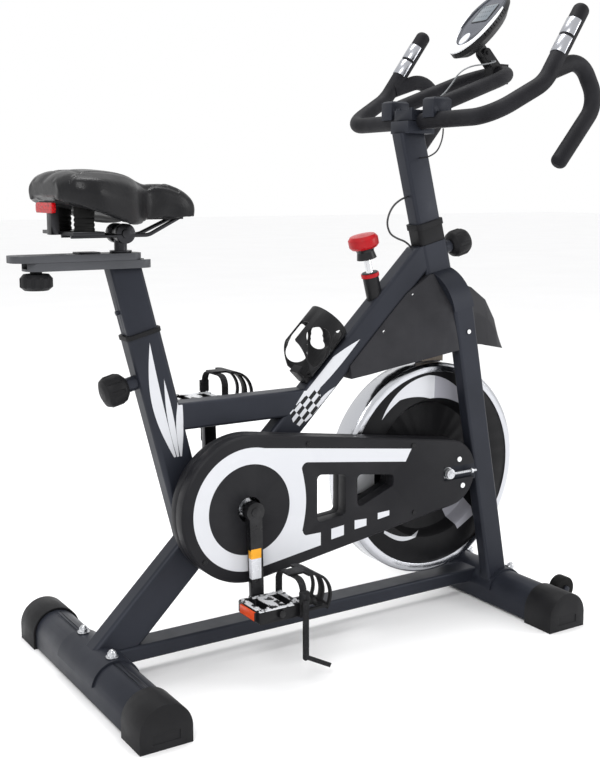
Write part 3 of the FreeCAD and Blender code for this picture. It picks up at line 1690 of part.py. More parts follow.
def console_parts():
    """Housing with its lug, bezel, screen, button and the bracket on the loop."""
    place = console_frame()
    long = float(S.console_half_long)
    wide = float(S.console_half_wide)
    deep = float(S.console_depth)
    normal = place.Rotation.multVec(Z_AXIS)
    shoulder = -deep * 0.45
    back = Part.makeLoft(
        [oval(place, long * 0.78, wide * 0.72, -deep), oval(place, long, wide, shoulder)],
        True,
    )
    housing = back.fuse(oval_block(place, long, wide, shoulder, 0))
    px, pz = CONSOLE_PIVOT
    pivot = local(place, px, 0, pz)
    lug = Part.makeBox(18, 16, 36)
    lug.Placement = FreeCAD.Placement(local(place, px - 9, -8, pz), place.Rotation)
    knuckle = Part.makeCylinder(9, 16, pivot - Y_AXIS * 8, Y_AXIS)
    way = Part.makeCylinder(4 + float(S.running_gap), 60, pivot - Y_AXIS * 30, Y_AXIS)
    button_well = oval_block_at(place, -48, 16.2, 11.2, -3, 1)
    housing = housing.fuse([lug, knuckle]).cut(way).cut(button_well)
    for number in range(9):
        vent = Part.makeBox(2, 120, 7)
        vent.Placement = FreeCAD.Placement(
            local(place, -36 + number * 9, -60, -9), place.Rotation
        )
        core = oval_block(place, long - 2, wide - 2, -30, 5)
        housing = housing.cut(vent.cut(core))
    ring = oval_block(place, long, wide, 0, 3)
    ring = ring.cut(oval_block(place, long - 7, wide - 7, -1, 4))
    keep("console_body", shape_part("console_body", housing.fuse(ring)))
    screen = Part.makeBox(52, 50, 1.6)
    screen.Placement = FreeCAD.Placement(local(place, 2, -25, 0), place.Rotation)
    upright = [e for e in screen.Edges if along(normal)(e)]
    keep("console_screen", shape_part("console_screen", screen.makeFillet(7, upright)))
    button = oval_block_at(place, -48, 16, 11, -1.6, 2.4)
    keep("console_button", shape_part("console_button", button))
    grip = Part.makeBox(42, 26, 40, at(621, -13, 1090)).cut(loop_shape(0))
    bracket = grip
    span = pivot - at(634, 0, 1122)
    angle = math.degrees(math.atan2(-span.x, span.z))
    for side in (-1, 1):
        cheek = Part.makeBox(20, 4.7, span.Length + 8)
        y = side * 8.3 if side > 0 else -13.0
        cheek.Placement = FreeCAD.Placement(
            at(634, 0, 1122) + turn(Y_AXIS, -angle).multVec(V(-10, 0, -8)) + V(0, y, 0),
            turn(Y_AXIS, -angle),
        )
        start = pivot + V(0, y, 0)
        eye = Part.makeCylinder(10, 4.7, start, Y_AXIS)
        bracket = bracket.fuse([cheek, eye])
    pin = Part.makeCylinder(4, 32, pivot - Y_AXIS * 16, Y_AXIS)
    bracket = bracket.fuse(pin).cut(loop_shape(0))
    keep("console_bracket", shape_part("console_bracket", bracket))


def oval_block_at(place, x, long, wide, z0, z1):
    """A straight oval solid centred part-way up the console's face."""
    moved = FreeCAD.Placement(local(place, x, 0, 0), place.Rotation)
    return oval_block(moved, long, wide, z0, z1)


# --------------------------------------------------------------------- cords

CORDS = {
    # name: diameter, then the route's points
    "sensor_cable": (
        4.0,
        (
            (414.9, 0, 859.9),
            (399.4, 0, 856.0),
            (376.0, 0, 840.0),
            (363.0, 0, 812.0),
            (370.0, 0, 788.0),
            (388.0, 0, 777.5),
            (414.3, 0, 769.6),
            (425.5, 0, 758.3),
        ),
    ),
    "console_wire": (
        3.0,
        (
            (616.0, -13.0, 1134.0),
            (616.0, -25.0, 1134.0),
            (603.0, -40.0, 1129.0),
            (570.0, -48.0, 1122.0),
            (534.0, -47.0, 1117.0),
            (507.0, -43.0, 1104.0),
            (490.0, -40.0, 1080.0),
            (473.0, -37.0, 1060.0),
            (452.0, -31.0, 1044.0),
            (438.0, -30.0, 1037.0),
            (431.0, -39.5, 1035.0),
            (431.0, -50.0, 1035.0),
        ),
    ),
    "pulse_wire": (
        3.0,
        (
            (428.0, -92.0, 990.1),
            (428.0, -92.0, 979.6),
            (430.0, -84.0, 963.0),
            (433.0, -69.0, 948.0),
            (434.0, -50.0, 940.0),
            (432.0, -33.0, 936.0),
            (430.0, -18.2, 936.0),
        ),
    ),
}


def cord_parts():
    """Free cables as plain tubes along their routes."""
    for name, (diameter, route) in CORDS.items():
        points = [at(*point) for point in route]
        radii = cord_radii(points)
        shape = tube_shape(points, radii, diameter / 2)
        wire = path_wire(points, radii)
        expected = wire.Length * math.pi * diameter**2 / 4
        print(
            f"{name}: length {wire.Length:.1f} mm, radii "
            + ", ".join(f"{radius:.1f}" for radius in radii)
            + f", volume {shape.Volume / expected:.4f} of section by length"
        )
        keep(name, shape_part(name, shape))


# --------------------------------------------------------------------- build


def check_and_export():
    """Stop on anything invalid, then write each sub-part."""
    doc.recompute()
    for thing in doc.Objects:
        bad = {"Invalid", "Error"} & set(thing.State)
        if bad:
            raise RuntimeError(f"{thing.Label}: {', '.join(sorted(bad))}")
    os.makedirs("parts", exist_ok=True)
    for label, thing in NODES.items():
        if thing.Shape.isNull() or not thing.Shape.isValid():
            raise RuntimeError(f"{label}: no valid shape")
        thing.Shape.exportStep(f"parts/{label}.step")
    print(f"{len(NODES)} sub-parts")


def build():
    """Make every sub-part in turn."""
    fill_sheet()
    rear_outer, rear_bar = floor_bar("rear_bar", S.rear_bar_x, S.rear_bar_half)
    front_outer, front_bar = floor_bar("front_bar", S.front_bar_x, S.front_bar_half)
    bolts = bar_bolts()
    keep("floor_bar_rear", cut(rear_bar, *bolts[0::2]))
    keep("floor_bar_front", cut(front_bar, *bolts[1::2]))
    keep("bar_bolts", group(*bolts))
    caps = [
        end_cap(x, half, side)
        for x, half in ((S.rear_bar_x, S.rear_bar_half), (S.front_bar_x, S.front_bar_half))
        for side in (-1, 1)
    ]
    keep("end_caps", group(*caps))
    rollers()
    frame_part(rear_outer, front_outer, bolts)
    tube_sleeves()
    spring_pins()
    wheel_parts()
    drive_parts()
    axle_parts()
    crank_parts()
    pedals()
    screws = cover_screws()
    guard_parts(screws)
    cover_parts(screws)
    keep("cover_screws", shape_part("cover_screws", Part.makeCompound(screws)))
    brake_parts()
    bottle_cage()
    seat_parts()
    saddle_parts()
    handlebar_parts()
    console_parts()
    cord_parts()
    check_and_export()


build()
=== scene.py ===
import math

import bmesh
import bpy
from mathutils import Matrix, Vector


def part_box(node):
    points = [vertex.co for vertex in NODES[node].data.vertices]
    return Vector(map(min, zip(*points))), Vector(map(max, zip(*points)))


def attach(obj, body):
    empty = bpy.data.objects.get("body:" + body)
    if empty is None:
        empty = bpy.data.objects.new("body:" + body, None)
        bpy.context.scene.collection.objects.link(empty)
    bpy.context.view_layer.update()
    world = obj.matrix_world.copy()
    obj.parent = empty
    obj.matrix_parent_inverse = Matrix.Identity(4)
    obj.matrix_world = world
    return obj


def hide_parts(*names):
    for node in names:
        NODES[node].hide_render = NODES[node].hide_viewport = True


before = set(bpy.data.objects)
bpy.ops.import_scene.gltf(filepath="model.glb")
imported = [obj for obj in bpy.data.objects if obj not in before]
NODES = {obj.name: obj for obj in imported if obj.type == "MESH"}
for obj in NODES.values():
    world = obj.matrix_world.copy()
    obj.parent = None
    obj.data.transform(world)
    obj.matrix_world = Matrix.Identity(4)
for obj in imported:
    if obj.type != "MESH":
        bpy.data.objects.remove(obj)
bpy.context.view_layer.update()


def middle(node):
    """The middle of a CAD node's box."""
    low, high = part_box(node)
    return (low + high) / 2


MM = 1000.0  # millimetres in a metre

CRANK = middle("drive_pulley")
WHEEL = middle("flywheel_rim")
CONSOLE = middle("console_screen")

TUBE_RISE = math.radians(44.65)  # the long tube up to the handlebar, from level
BRAKE_LEAN = math.radians(14.2)  # the brake column, back from upright
CONSOLE_RISE = math.radians(46)  # the console's face, from level


def from_crank(x, y, z):
    """A point in metres from millimetres forward of the crank, across, and up."""
    return Vector((CRANK.x + x / MM, y / MM, z / MM))


# ------------------------------------------------------------------ node maths


class Field:
    """A number that varies over a surface, so that masks read as plain formulas."""

    def __init__(self, tree, source):
        self.tree = tree
        self.source = source

    def math(self, operation, *others):
        """One maths node on this field and on other fields or numbers."""
        node = self.tree.nodes.new("ShaderNodeMath")
        node.operation = operation
        self.tree.links.new(self.source, node.inputs[0])
        for slot, other in enumerate(others, start=1):
            if isinstance(other, Field):
                self.tree.links.new(other.source, node.inputs[slot])
            else:
                node.inputs[slot].default_value = other
        return Field(self.tree, node.outputs[0])

    def __add__(self, other):
        return self.math("ADD", other)

    def __sub__(self, other):
        return self.math("SUBTRACT", other)

    def __mul__(self, other):
        return self.math("MULTIPLY", other)

    def __truediv__(self, other):
        return self.math("DIVIDE", other)

    def __gt__(self, other):
        return self.math("GREATER_THAN", other)

    def __lt__(self, other):
        return self.math("LESS_THAN", other)

    def __and__(self, other):
        return self.math("MINIMUM", other)

    def __or__(self, other):
        return self.math("MAXIMUM", other)

    def root(self):
        """Square root."""
        return self.math("SQRT")

    def sine(self):
        """Sine of the field, taken in radians."""
        return self.math("SINE")

    def size(self):
        """The field without its sign."""
        return self.math("ABSOLUTE")

    def between(self, low, high):
        """1 where the field lies between two numbers."""
        return (self > low) & (self < high)


class Surface:
    """A procedural material being built: one principled shader and its inputs."""

    def __init__(self, name, colour, metallic=0.0, **extra):
        self.material = bpy.data.materials.new(name)
        self.material.use_nodes = True
        self.tree = self.material.node_tree
        self.shader = self.tree.nodes["Principled BSDF"]
        self.shader.inputs["Base Color"].default_value = (*colour, 1)
        self.shader.inputs["Metallic"].default_value = metallic
        for socket, value in extra.items():
            self.shader.inputs[socket.replace("_", " ")].default_value = value
        self.coords = self.tree.nodes.new("ShaderNodeTexCoord")
        self.bump = None

    def link(self, source, target):
        """Join two sockets."""
        self.tree.links.new(source, target)

    def xyz(self):
        """The surface point as three fields, in millimetres of the bike's frame."""
        split = self.tree.nodes.new("ShaderNodeSeparateXYZ")
        self.link(self.coords.outputs["Object"], split.inputs[0])
        return [Field(self.tree, split.outputs[i]) * MM for i in range(3)]

    def scaled(self, scale):
        """Object coordinates, stretched by a scale along each axis."""
        mapping = self.tree.nodes.new("ShaderNodeMapping")
        mapping.inputs["Scale"].default_value = scale
        self.link(self.coords.outputs["Object"], mapping.inputs["Vector"])
        return mapping.outputs[0]

    def noise(self, scale, detail, stretch=(1, 1, 1)):
        """Soft noise from 0 to 1; a larger scale is finer."""
        node = self.tree.nodes.new("ShaderNodeTexNoise")
        node.inputs["Scale"].default_value = scale
        node.inputs["Detail"].default_value = detail
        self.link(self.scaled(stretch), node.inputs["Vector"])
        return Field(self.tree, node.outputs["Fac"])

    def cells(self, scale, feature="F1"):
        """Distance from the nearest, or for F2 the second nearest, random point."""
        node = self.tree.nodes.new("ShaderNodeTexVoronoi")
        node.feature = feature
        node.inputs["Scale"].default_value = scale
        self.link(self.coords.outputs["Object"], node.inputs["Vector"])
        return Field(self.tree, node.outputs["Distance"])

    def vary_colour(self, field, other, low, high):
        """Blend towards another colour as the field goes from low to high."""
        ramp = self.tree.nodes.new("ShaderNodeMapRange")
        ramp.inputs["From Min"].default_value = low
        ramp.inputs["From Max"].default_value = high
        self.link(field.source, ramp.inputs["Value"])
        self.mix(Field(self.tree, ramp.outputs[0]), other)

    def mix(self, mask, other):
        """Paint another colour over what is there, where the mask is 1."""
        node = self.tree.nodes.new("ShaderNodeMix")
        node.data_type = "RGBA"
        self.link(mask.source, node.inputs[0])
        before = self.shader.inputs["Base Color"]
        if before.is_linked:
            self.link(before.links[0].from_socket, node.inputs[6])
        else:
            node.inputs[6].default_value = before.default_value
        node.inputs[7].default_value = (*other, 1)
        self.link(node.outputs[2], self.shader.inputs["Base Color"])

    def roughen(self, field, low, high):
        """Let the roughness run between two values as a field runs from 0 to 1."""
        node = self.tree.nodes.new("ShaderNodeMapRange")
        node.inputs["To Min"].default_value = low
        node.inputs["To Max"].default_value = high
        self.link(field.source, node.inputs["Value"])
        self.link(node.outputs[0], self.shader.inputs["Roughness"])

    def raise_by(self, field, distance, strength):
        """Stack a bump of so many metres on the surface."""
        node = self.tree.nodes.new("ShaderNodeBump")
        node.inputs["Strength"].default_value = strength
        node.inputs["Distance"].default_value = distance
        self.link(field.source, node.inputs["Height"])
        if self.bump:
            self.link(self.bump, node.inputs["Normal"])
        self.bump = node.outputs[0]
        self.link(self.bump, self.shader.inputs["Normal"])


def turned(x, z, lean):
    """A point in axes turned by an angle: how far along it, and how far across."""
    along = x * math.cos(lean) + z * math.sin(lean)
    across = z * math.cos(lean) - x * math.sin(lean)
    return along, across


def radius_from(x, z, centre):
    """Distance in millimetres from a line across the bike."""
    dx = x - centre.x * MM
    dz = z - centre.z * MM
    return (dx * dx + dz * dz).root()


def polygon(x, z, corners):
    """1 inside a convex outline given anticlockwise as (x, z) points."""
    inside = None
    for (x0, z0), (x1, z1) in zip(corners, corners[1:] + corners[:1]):
        side = (z - z0) * (x1 - x0) - (x - x0) * (z1 - z0)
        mask = side > 0.0
        inside = mask if inside is None else inside & mask
    return inside


def flame(x, z, tip, root, back, front, foot):
    """1 inside a pointed leaf from tip to root.

    back and front are how far its two edges belly out, and foot is how much
    wider each side is at the root.
    """
    run = Vector(root) - Vector(tip)
    ux, uz = run.normalized()
    dx = x - tip[0]
    dz = z - tip[1]
    along = (dx * ux + dz * uz) / run.length
    across = dz * ux - dx * uz
    belly = (along * math.pi).sine()
    flare = along * foot
    ahead = across < (belly * front + flare)
    behind = (across * -1.0) < (belly * back + flare)
    return along.between(0.0, 1.0) & ahead & behind


# ------------------------------------------------------------------- materials

# linear red, green and blue
WHITE = (0.60, 0.61, 0.64)
SILVER = (0.34, 0.34, 0.38)
METAL = (0.62, 0.63, 0.65)
CHARCOAL = (0.017, 0.019, 0.026)
BLACK = (0.008, 0.008, 0.009)
DUSTY_BLACK = (0.022, 0.022, 0.024)
RED = (0.36, 0.004, 0.008)
AMBER = (0.72, 0.075, 0.015)
ORANGE = (0.75, 0.34, 0.02)


def powder_coat(name, colour, decals=None):
    """Satin powder coat with orange peel and slow changes of shade."""
    s = Surface(name, colour, 0.3, Specular_IOR_Level=0.22)
    s.vary_colour(s.noise(7, 3), [c * 1.4 for c in colour], 0.35, 0.75)
    if decals:
        decals(s)
    s.roughen(s.noise(30, 5), 0.34, 0.52)
    s.raise_by(s.noise(900, 2), 0.00006, 0.5)
    s.raise_by(s.noise(160, 2), 0.00010, 0.35)
    return s.material


def moulded(name, colour, rough=0.5, grain=1400):
    """Moulded plastic with a fine spark-eroded grain."""
    s = Surface(name, colour, Specular_IOR_Level=0.14)
    s.vary_colour(s.noise(12, 3), [c * 1.5 + 0.002 for c in colour], 0.4, 0.8)
    s.roughen(s.noise(60, 4), rough - 0.08, rough + 0.1)
    s.raise_by(s.noise(grain, 2), 0.00008, 0.6)
    return s.material


def polished(name, colour, rough=0.12):
    """Chrome plate with faint polishing marks."""
    s = Surface(name, colour, 1.0)
    s.roughen(s.noise(40, 6), rough * 0.6, rough * 1.7)
    s.raise_by(s.noise(500, 3, (1, 8, 1)), 0.00003, 0.3)
    return s.material


def turned_metal(name, colour, centre, rough=0.28):
    """Metal turned on a lathe about a line across the bike: fine rings."""
    s = Surface(name, colour, 1.0)
    x, _, z = s.xyz()
    radius = radius_from(x, z, centre)
    rings = (radius * 9.0).sine() * 0.5 + 0.5
    s.roughen(s.noise(50, 4), rough * 0.7, rough * 1.4)
    s.raise_by(rings, 0.00004, 0.5)
    return s.material


def zinc():
    """Bright zinc plate with a faint spangle."""
    s = Surface("bright_zinc", METAL, 1.0)
    s.vary_colour(s.cells(300), (0.42, 0.43, 0.45), 0.2, 0.8)
    s.roughen(s.noise(90, 4), 0.18, 0.42)
    s.raise_by(s.noise(400, 3), 0.00005, 0.4)
    return s.material


# Printed shapes below are in millimetres: forward of the crank, and up from the floor.

WHEEL_FACE = -3.0  # the right face is beyond this, across the bike
CROWN_MIDDLE = 1.62  # angle in radians where sweep is 0
CROWN_REACH = 0.92  # radians from there to the swoosh's point, where sweep is 1
CROWN_SPAN = (-0.62, 1.0)  # sweep at its blunt end and at its point
CROWN_INNER = 147.0
CROWN_OUTER = 196.0
WHEEL_CRESCENT = ((446, 168), (344, 186), -11, 17, 3)  # as flame() takes them
WHEEL_PATCHES = (
    ([(512, 204), (537, 161), (579, 184), (569, 222)], SILVER),
    ([(262, 272), (322, 284), (334, 330), (262, 330)], METAL),
)


def wheel_black():
    """Satin black casting with pale shapes on its right face and faint turned rings."""
    s = Surface("wheel_black", (0.007, 0.007, 0.008), 0.2, Specular_IOR_Level=0.15)
    x, y, z = s.xyz()
    radius = radius_from(x, z, WHEEL)
    dx = x - WHEEL.x * MM
    dz = z - WHEEL.z * MM
    angle = dz.math("ARCTAN2", dx)
    face = y < WHEEL_FACE
    sweep = (angle - CROWN_MIDDLE) / CROWN_REACH
    back = (sweep * -1.0).math("MAXIMUM", 0.0)
    rise = (sweep * 2.0).math("MAXIMUM", 0.0).math("MINIMUM", 1.0)
    inner = rise * 26.0 + CROWN_INNER
    outer = sweep * sweep * -31.0 - back * 30.0 + CROWN_OUTER
    crown = (radius > inner) & (radius < outer) & sweep.between(*CROWN_SPAN)
    s.mix(crown & face, WHITE)
    s.mix(crown & face & (sweep < -0.08), SILVER)
    ahead = x - CRANK.x * MM
    s.mix(flame(ahead, z, *WHEEL_CRESCENT) & face, WHITE)
    for corners, colour in WHEEL_PATCHES:
        s.mix(polygon(ahead, z, corners) & face, colour)
    s.roughen(s.noise(25, 5), 0.28, 0.46)
    s.raise_by((radius * 5.0).sine(), 0.00003, 0.4)
    s.raise_by(s.noise(260, 3), 0.00008, 0.35)
    return s.material


GUARD_FACE = -80.0  # the printed face is beyond this, across the bike
RING = (84.0, 114.5)  # inner and outer radius of the pale ring about the crank
BAND = [(100, 375), (353, 343), (367, 367.2), (100, 401.4)]
FOOT = [(90, 197.8), (153, 207), (153, 232), (90, 232)]
STEM_FRONT = 111.0
STEM_BELLY = (239.0, 122, 9.0)  # where it starts to bulge, how tall, how far
STEM_TOP = (0.1284, 414.2)  # fall for each millimetre forward, and height at the crank
STEM_FLOOR = (0.1467, 184.6)  # rise for each millimetre forward, and height at the crank
FILLETS = ((359.5, 12.5, 1.0), (241.5, 10.0, -1.0))  # height, radius, up or down
FILLET_FRONT = 123.0
FILLET_BACK = 104.0
FILLET_HEIGHT = 15.0
GUARD_BLOCKS = (
    [(177, 214), (206, 218), (206, 238), (177, 235)],
    [(231, 225), (259, 228), (259, 242), (231, 243)],
    [(286, 236), (314, 240), (314, 250), (286, 249)],
)


def guard_black():
    """Textured guard plastic with a pale printed ring, stem, band, foot and blocks."""
    s = Surface("guard_black", (0.010, 0.010, 0.012), Specular_IOR_Level=0.14)
    s.vary_colour(s.noise(9, 3), (0.018, 0.018, 0.020), 0.4, 0.8)
    x, y, z = s.xyz()
    radius = radius_from(x, z, CRANK)
    x = x - CRANK.x * MM
    face = y < GUARD_FACE
    start, tall, bulge = STEM_BELLY
    belly = ((z - start) * (math.pi / tall)).sine() * bulge
    below_top = (z + x * STEM_TOP[0]) < STEM_TOP[1]
    above_floor = (z - x * STEM_FLOOR[0]) > STEM_FLOOR[1]
    stem = (x > 0.0) & (x < (belly + STEM_FRONT)) & below_top & above_floor
    pale = (radius < RING[1]) | stem | polygon(x, z, BAND) | polygon(x, z, FOOT)
    for height, bend, side in FILLETS:
        dx = x - FILLET_FRONT
        dz = z - height
        outside = (dx * dx + dz * dz).root() > bend
        column = x.between(FILLET_BACK, FILLET_FRONT)
        pale = pale | (column & (dz * side).between(0.0, FILLET_HEIGHT) & outside)
    s.mix(pale & (radius > RING[0]) & face, WHITE)
    for corners in GUARD_BLOCKS:
        s.mix(polygon(x, z, corners) & face, WHITE)
    s.roughen(s.noise(60, 4), 0.38, 0.56)
    s.raise_by(s.noise(1300, 2), 0.00009, 0.6)
    return s.material


FRAME_FLAMES = (
    # as flame() takes them: three on the seat tube, then two on the rising tube
    ((-162, 610), (-117, 400), 20, -1.5, 2),
    ((-136, 543), (-111, 400), 6, 4, 2),
    ((-103, 527), (-105, 400), 9, 4, 1.5),
    ((287, 584), (142, 465), 16, 6, 5),
    ((234, 497), (194, 466), 3, 1, 6),
)
CHECK_PATCH = [(125, 454), (132, 436), (148, 425), (196, 457), (193, 500), (154, 480)]
CHECK_SIZE = (19, 8)  # of one check, along the tube and across it
TUBE_SIDE = 19.0  # the tubes' flat sides are further than this from the middle


def frame_decals(s):
    """Pale flames on the seat tube and on the rising tube, with a few checks."""
    x, y, z = s.xyz()
    x = x - CRANK.x * MM
    side = y.size() > TUBE_SIDE
    for shape in FRAME_FLAMES:
        s.mix(flame(x, z, *shape) & side, WHITE)
    along, across = turned(x, z, TUBE_RISE)
    patch = polygon(x, z, CHECK_PATCH)
    stripes = (along * (math.pi / CHECK_SIZE[0])).sine()
    checks = stripes * (across * (math.pi / CHECK_SIZE[1])).sine()
    s.mix(patch & side & (checks > 0.0), WHITE)
    s.mix(patch & side & (checks < 0.0), (0.012, 0.012, 0.013))


def vinyl():
    """Black saddle vinyl with a pebbled grain."""
    s = Surface("saddle_vinyl", (0.004, 0.004, 0.005), Specular_IOR_Level=0.20)
    s.vary_colour(s.noise(20, 4), (0.011, 0.011, 0.012), 0.4, 0.8)
    s.roughen(s.noise(70, 4), 0.24, 0.42)
    s.raise_by(s.cells(420), 0.00030, 0.55)
    s.raise_by(s.noise(60, 3), 0.0006, 0.25)
    return s.material


def foam():
    """Black dipped foam of the bars: matt skin with fine pores."""
    s = Surface("bar_foam", (0.008, 0.008, 0.010), Specular_IOR_Level=0.14)
    s.vary_colour(s.noise(15, 3), (0.018, 0.018, 0.021), 0.4, 0.8)
    s.roughen(s.noise(80, 3), 0.50, 0.70)
    s.raise_by(s.cells(900), 0.00012, 0.6)
    return s.material


def rubber():
    """Matt rubber with a dusty bloom."""
    s = Surface("black_rubber", (0.006, 0.006, 0.006), Specular_IOR_Level=0.14)
    s.vary_colour(s.noise(45, 5), (0.022, 0.022, 0.021), 0.5, 0.85)
    s.roughen(s.noise(90, 3), 0.62, 0.82)
    s.raise_by(s.noise(700, 3), 0.00012, 0.6)
    return s.material


def reflector(name, colour):
    """A prismatic reflector: small cube corners under clear plastic."""
    s = Surface(name, colour, Specular_IOR_Level=0.12)
    s.vary_colour(s.cells(330), [c * 0.35 for c in colour], 0.2, 0.7)
    s.roughen(s.noise(60, 2), 0.08, 0.2)
    s.raise_by(s.cells(330, "F2"), 0.0004, 0.8)
    return s.material


NECK = 33  # height of the brake knob's black neck, above its lowest point
SLEEVE_FOOT = from_crank(335, 0, 664)
SLEEVE_RING = (40.5, 48.5)  # start and end of the red ring, up from the foot


def knob_colours():
    """The brake knob: red cap over a black neck."""
    s = Surface("knob_colours", RED, Specular_IOR_Level=0.25)
    s.vary_colour(s.noise(25, 3), (0.24, 0.003, 0.006), 0.45, 0.8)
    low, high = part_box("brake_knob")
    x, _, z = s.xyz()
    _, height = turned(x - high.x * MM, z, BRAKE_LEAN)
    neck = height < (low.z * MM + NECK) * math.cos(BRAKE_LEAN)
    s.mix(neck, (0.010, 0.010, 0.011))
    s.roughen(s.noise(60, 3), 0.2, 0.4)
    s.raise_by(s.noise(300, 2), 0.00006, 0.4)
    return s.material


def sleeve_colours():
    """The brake sleeve: black with a red ring round it."""
    s = Surface("sleeve_colours", BLACK, Specular_IOR_Level=0.2)
    foot = SLEEVE_FOOT * MM
    x, _, z = s.xyz()
    _, height = turned(x - foot.x, z - foot.z, BRAKE_LEAN)
    s.mix(height.between(*SLEEVE_RING), RED)
    s.roughen(s.noise(60, 3), 0.3, 0.5)
    s.raise_by(s.noise(500, 2), 0.00006, 0.4)
    return s.material


TREAD = 4.0  # worn depth of a pedal's top
REFLECTOR = {"depth": 3.5, "from_end": 12.0, "from_bottom": 5.0, "from_top": 6.0}


def pedal_metal(name, node):
    """A black pedal with bright worn treads and a reflector on its rear face."""
    s = Surface(name, BLACK, 0.25, Specular_IOR_Level=0.2)
    low, high = (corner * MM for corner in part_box(node))
    x, y, z = s.xyz()
    wear = s.noise(70, 5) > 0.47
    s.mix((z > high.z - TREAD) & wear, METAL)
    rear = x < low.x + REFLECTOR["depth"]
    tall = z.between(low.z + REFLECTOR["from_bottom"], high.z - REFLECTOR["from_top"])
    wide = y.between(low.y + REFLECTOR["from_end"], high.y - REFLECTOR["from_end"])
    s.mix(rear & tall & wide, AMBER)
    s.roughen(s.noise(70, 4), 0.24, 0.46)
    s.raise_by(s.noise(420, 3), 0.00012, 0.5)
    return s.material


LABEL_FACE = -96.0  # the crank's outer face is beyond this, across the bike
LABEL_HALF = 10.5
LABEL = (176.0, 232.0)  # from its bottom to its top, above the floor
LABEL_BAND = 214.0  # the orange band runs from here to the top


def labelled_crank():
    """The right crank: black paint with a blank label and an orange band."""
    s = Surface("crank_label", BLACK, 0.2, Specular_IOR_Level=0.3)
    s.vary_colour(s.noise(30, 4), DUSTY_BLACK, 0.45, 0.8)
    x, y, z = s.xyz()
    dx = (x - CRANK.x * MM).size()
    face = (y < LABEL_FACE) & (dx < LABEL_HALF)
    s.mix(face & z.between(*LABEL), WHITE)
    s.mix(face & z.between(LABEL_BAND, LABEL[1]), ORANGE)
    s.roughen(s.noise(40, 4), 0.2, 0.38)
    s.raise_by(s.noise(500, 3), 0.00004, 0.4)
    return s.material


GUARD_SCREWS = {"across": -70.0, "forward": 420.0}  # further right, and less far forward


def screw_heads():
    """Pan heads: bright, but black round the edge of the guard."""
    s = Surface("screw_heads", (0.80, 0.81, 0.82), 0.6)
    x, y, _ = s.xyz()
    x = x - CRANK.x * MM
    s.mix((y < GUARD_SCREWS["across"]) & (x < GUARD_SCREWS["forward"]), BLACK)
    s.roughen(s.noise(90, 4), 0.22, 0.4)
    s.raise_by(s.noise(400, 3), 0.00005, 0.4)
    return s.material


def webbing():
    """Woven strap with a small raised weave."""
    s = Surface("strap_webbing", BLACK, Specular_IOR_Level=0.2)
    x, y, z = s.xyz()
    weave = ((x + z) * 2.6).sine() * ((x - z) * 2.6).sine()
    s.vary_colour(s.noise(200, 3), DUSTY_BLACK, 0.45, 0.8)
    s.roughen(s.noise(90, 2), 0.7, 0.88)
    s.raise_by(weave * (y * 2.2).sine(), 0.00022, 0.7)
    return s.material


def felt():
    """The brake pad: grey-brown felt."""
    s = Surface("brake_felt", (0.20, 0.16, 0.12), Sheen_Weight=0.6)
    s.vary_colour(s.noise(220, 6), (0.32, 0.27, 0.22), 0.35, 0.7)
    s.roughen(s.noise(90, 2), 0.85, 1.0)
    s.raise_by(s.noise(600, 6), 0.0006, 0.8)
    return s.material


def cable(name, colour):
    """Round cable jacket with a soft shine."""
    s = Surface(name, colour)
    s.vary_colour(s.noise(60, 3), [c * 0.6 for c in colour], 0.4, 0.8)
    s.roughen(s.noise(70, 3), 0.36, 0.55)
    s.raise_by(s.noise(700, 2), 0.00005, 0.5)
    return s.material


def belt_ribs():
    """Ribbed drive belt."""
    s = Surface("belt_ribs", (0.012, 0.012, 0.013), Specular_IOR_Level=0.3)
    _, y, _ = s.xyz()
    s.vary_colour(s.noise(90, 4), (0.04, 0.04, 0.04), 0.5, 0.85)
    s.roughen(s.noise(60, 3), 0.55, 0.75)
    s.raise_by((y * 2.6).sine(), 0.0004, 0.7)
    return s.material


CONSOLE_FACE = -1.6  # the face is out from here, measured from the screen's middle
BEZEL_HALF = (88.0, 46.0)  # the bezel's inner edge is an ellipse this long and wide
BEZEL_DROP = 5.0  # of its middle below the screen's
LCD_MARKS = (20.0, 18.0)  # half height and half width of the marked area
LCD_CLEAR = (24.0, 22.5)  # the same of the window inside its black rim


def console_shell():
    """Charcoal housing with a pale bezel on its rim and a grey face."""
    s = Surface("console_shell", (0.009, 0.009, 0.010), Specular_IOR_Level=0.2)
    x, y, z = s.xyz()
    centre = CONSOLE * MM
    up, out = turned(x - centre.x, z - centre.z, CONSOLE_RISE)
    long = (up + BEZEL_DROP) / BEZEL_HALF[0]
    wide = y / BEZEL_HALF[1]
    inside = ((long * long) + (wide * wide)) < 1.0
    front = out > CONSOLE_FACE
    s.mix(front, (0.80, 0.81, 0.83))
    s.mix(inside & front, (0.045, 0.048, 0.058))
    panel = ((long * long * 1.5) + (wide * wide * 1.5)) < 1.0
    s.mix(panel & front, (0.085, 0.090, 0.105))
    s.roughen(s.noise(60, 3), 0.32, 0.5)
    s.raise_by(s.noise(900, 2), 0.00006, 0.4)
    return s.material


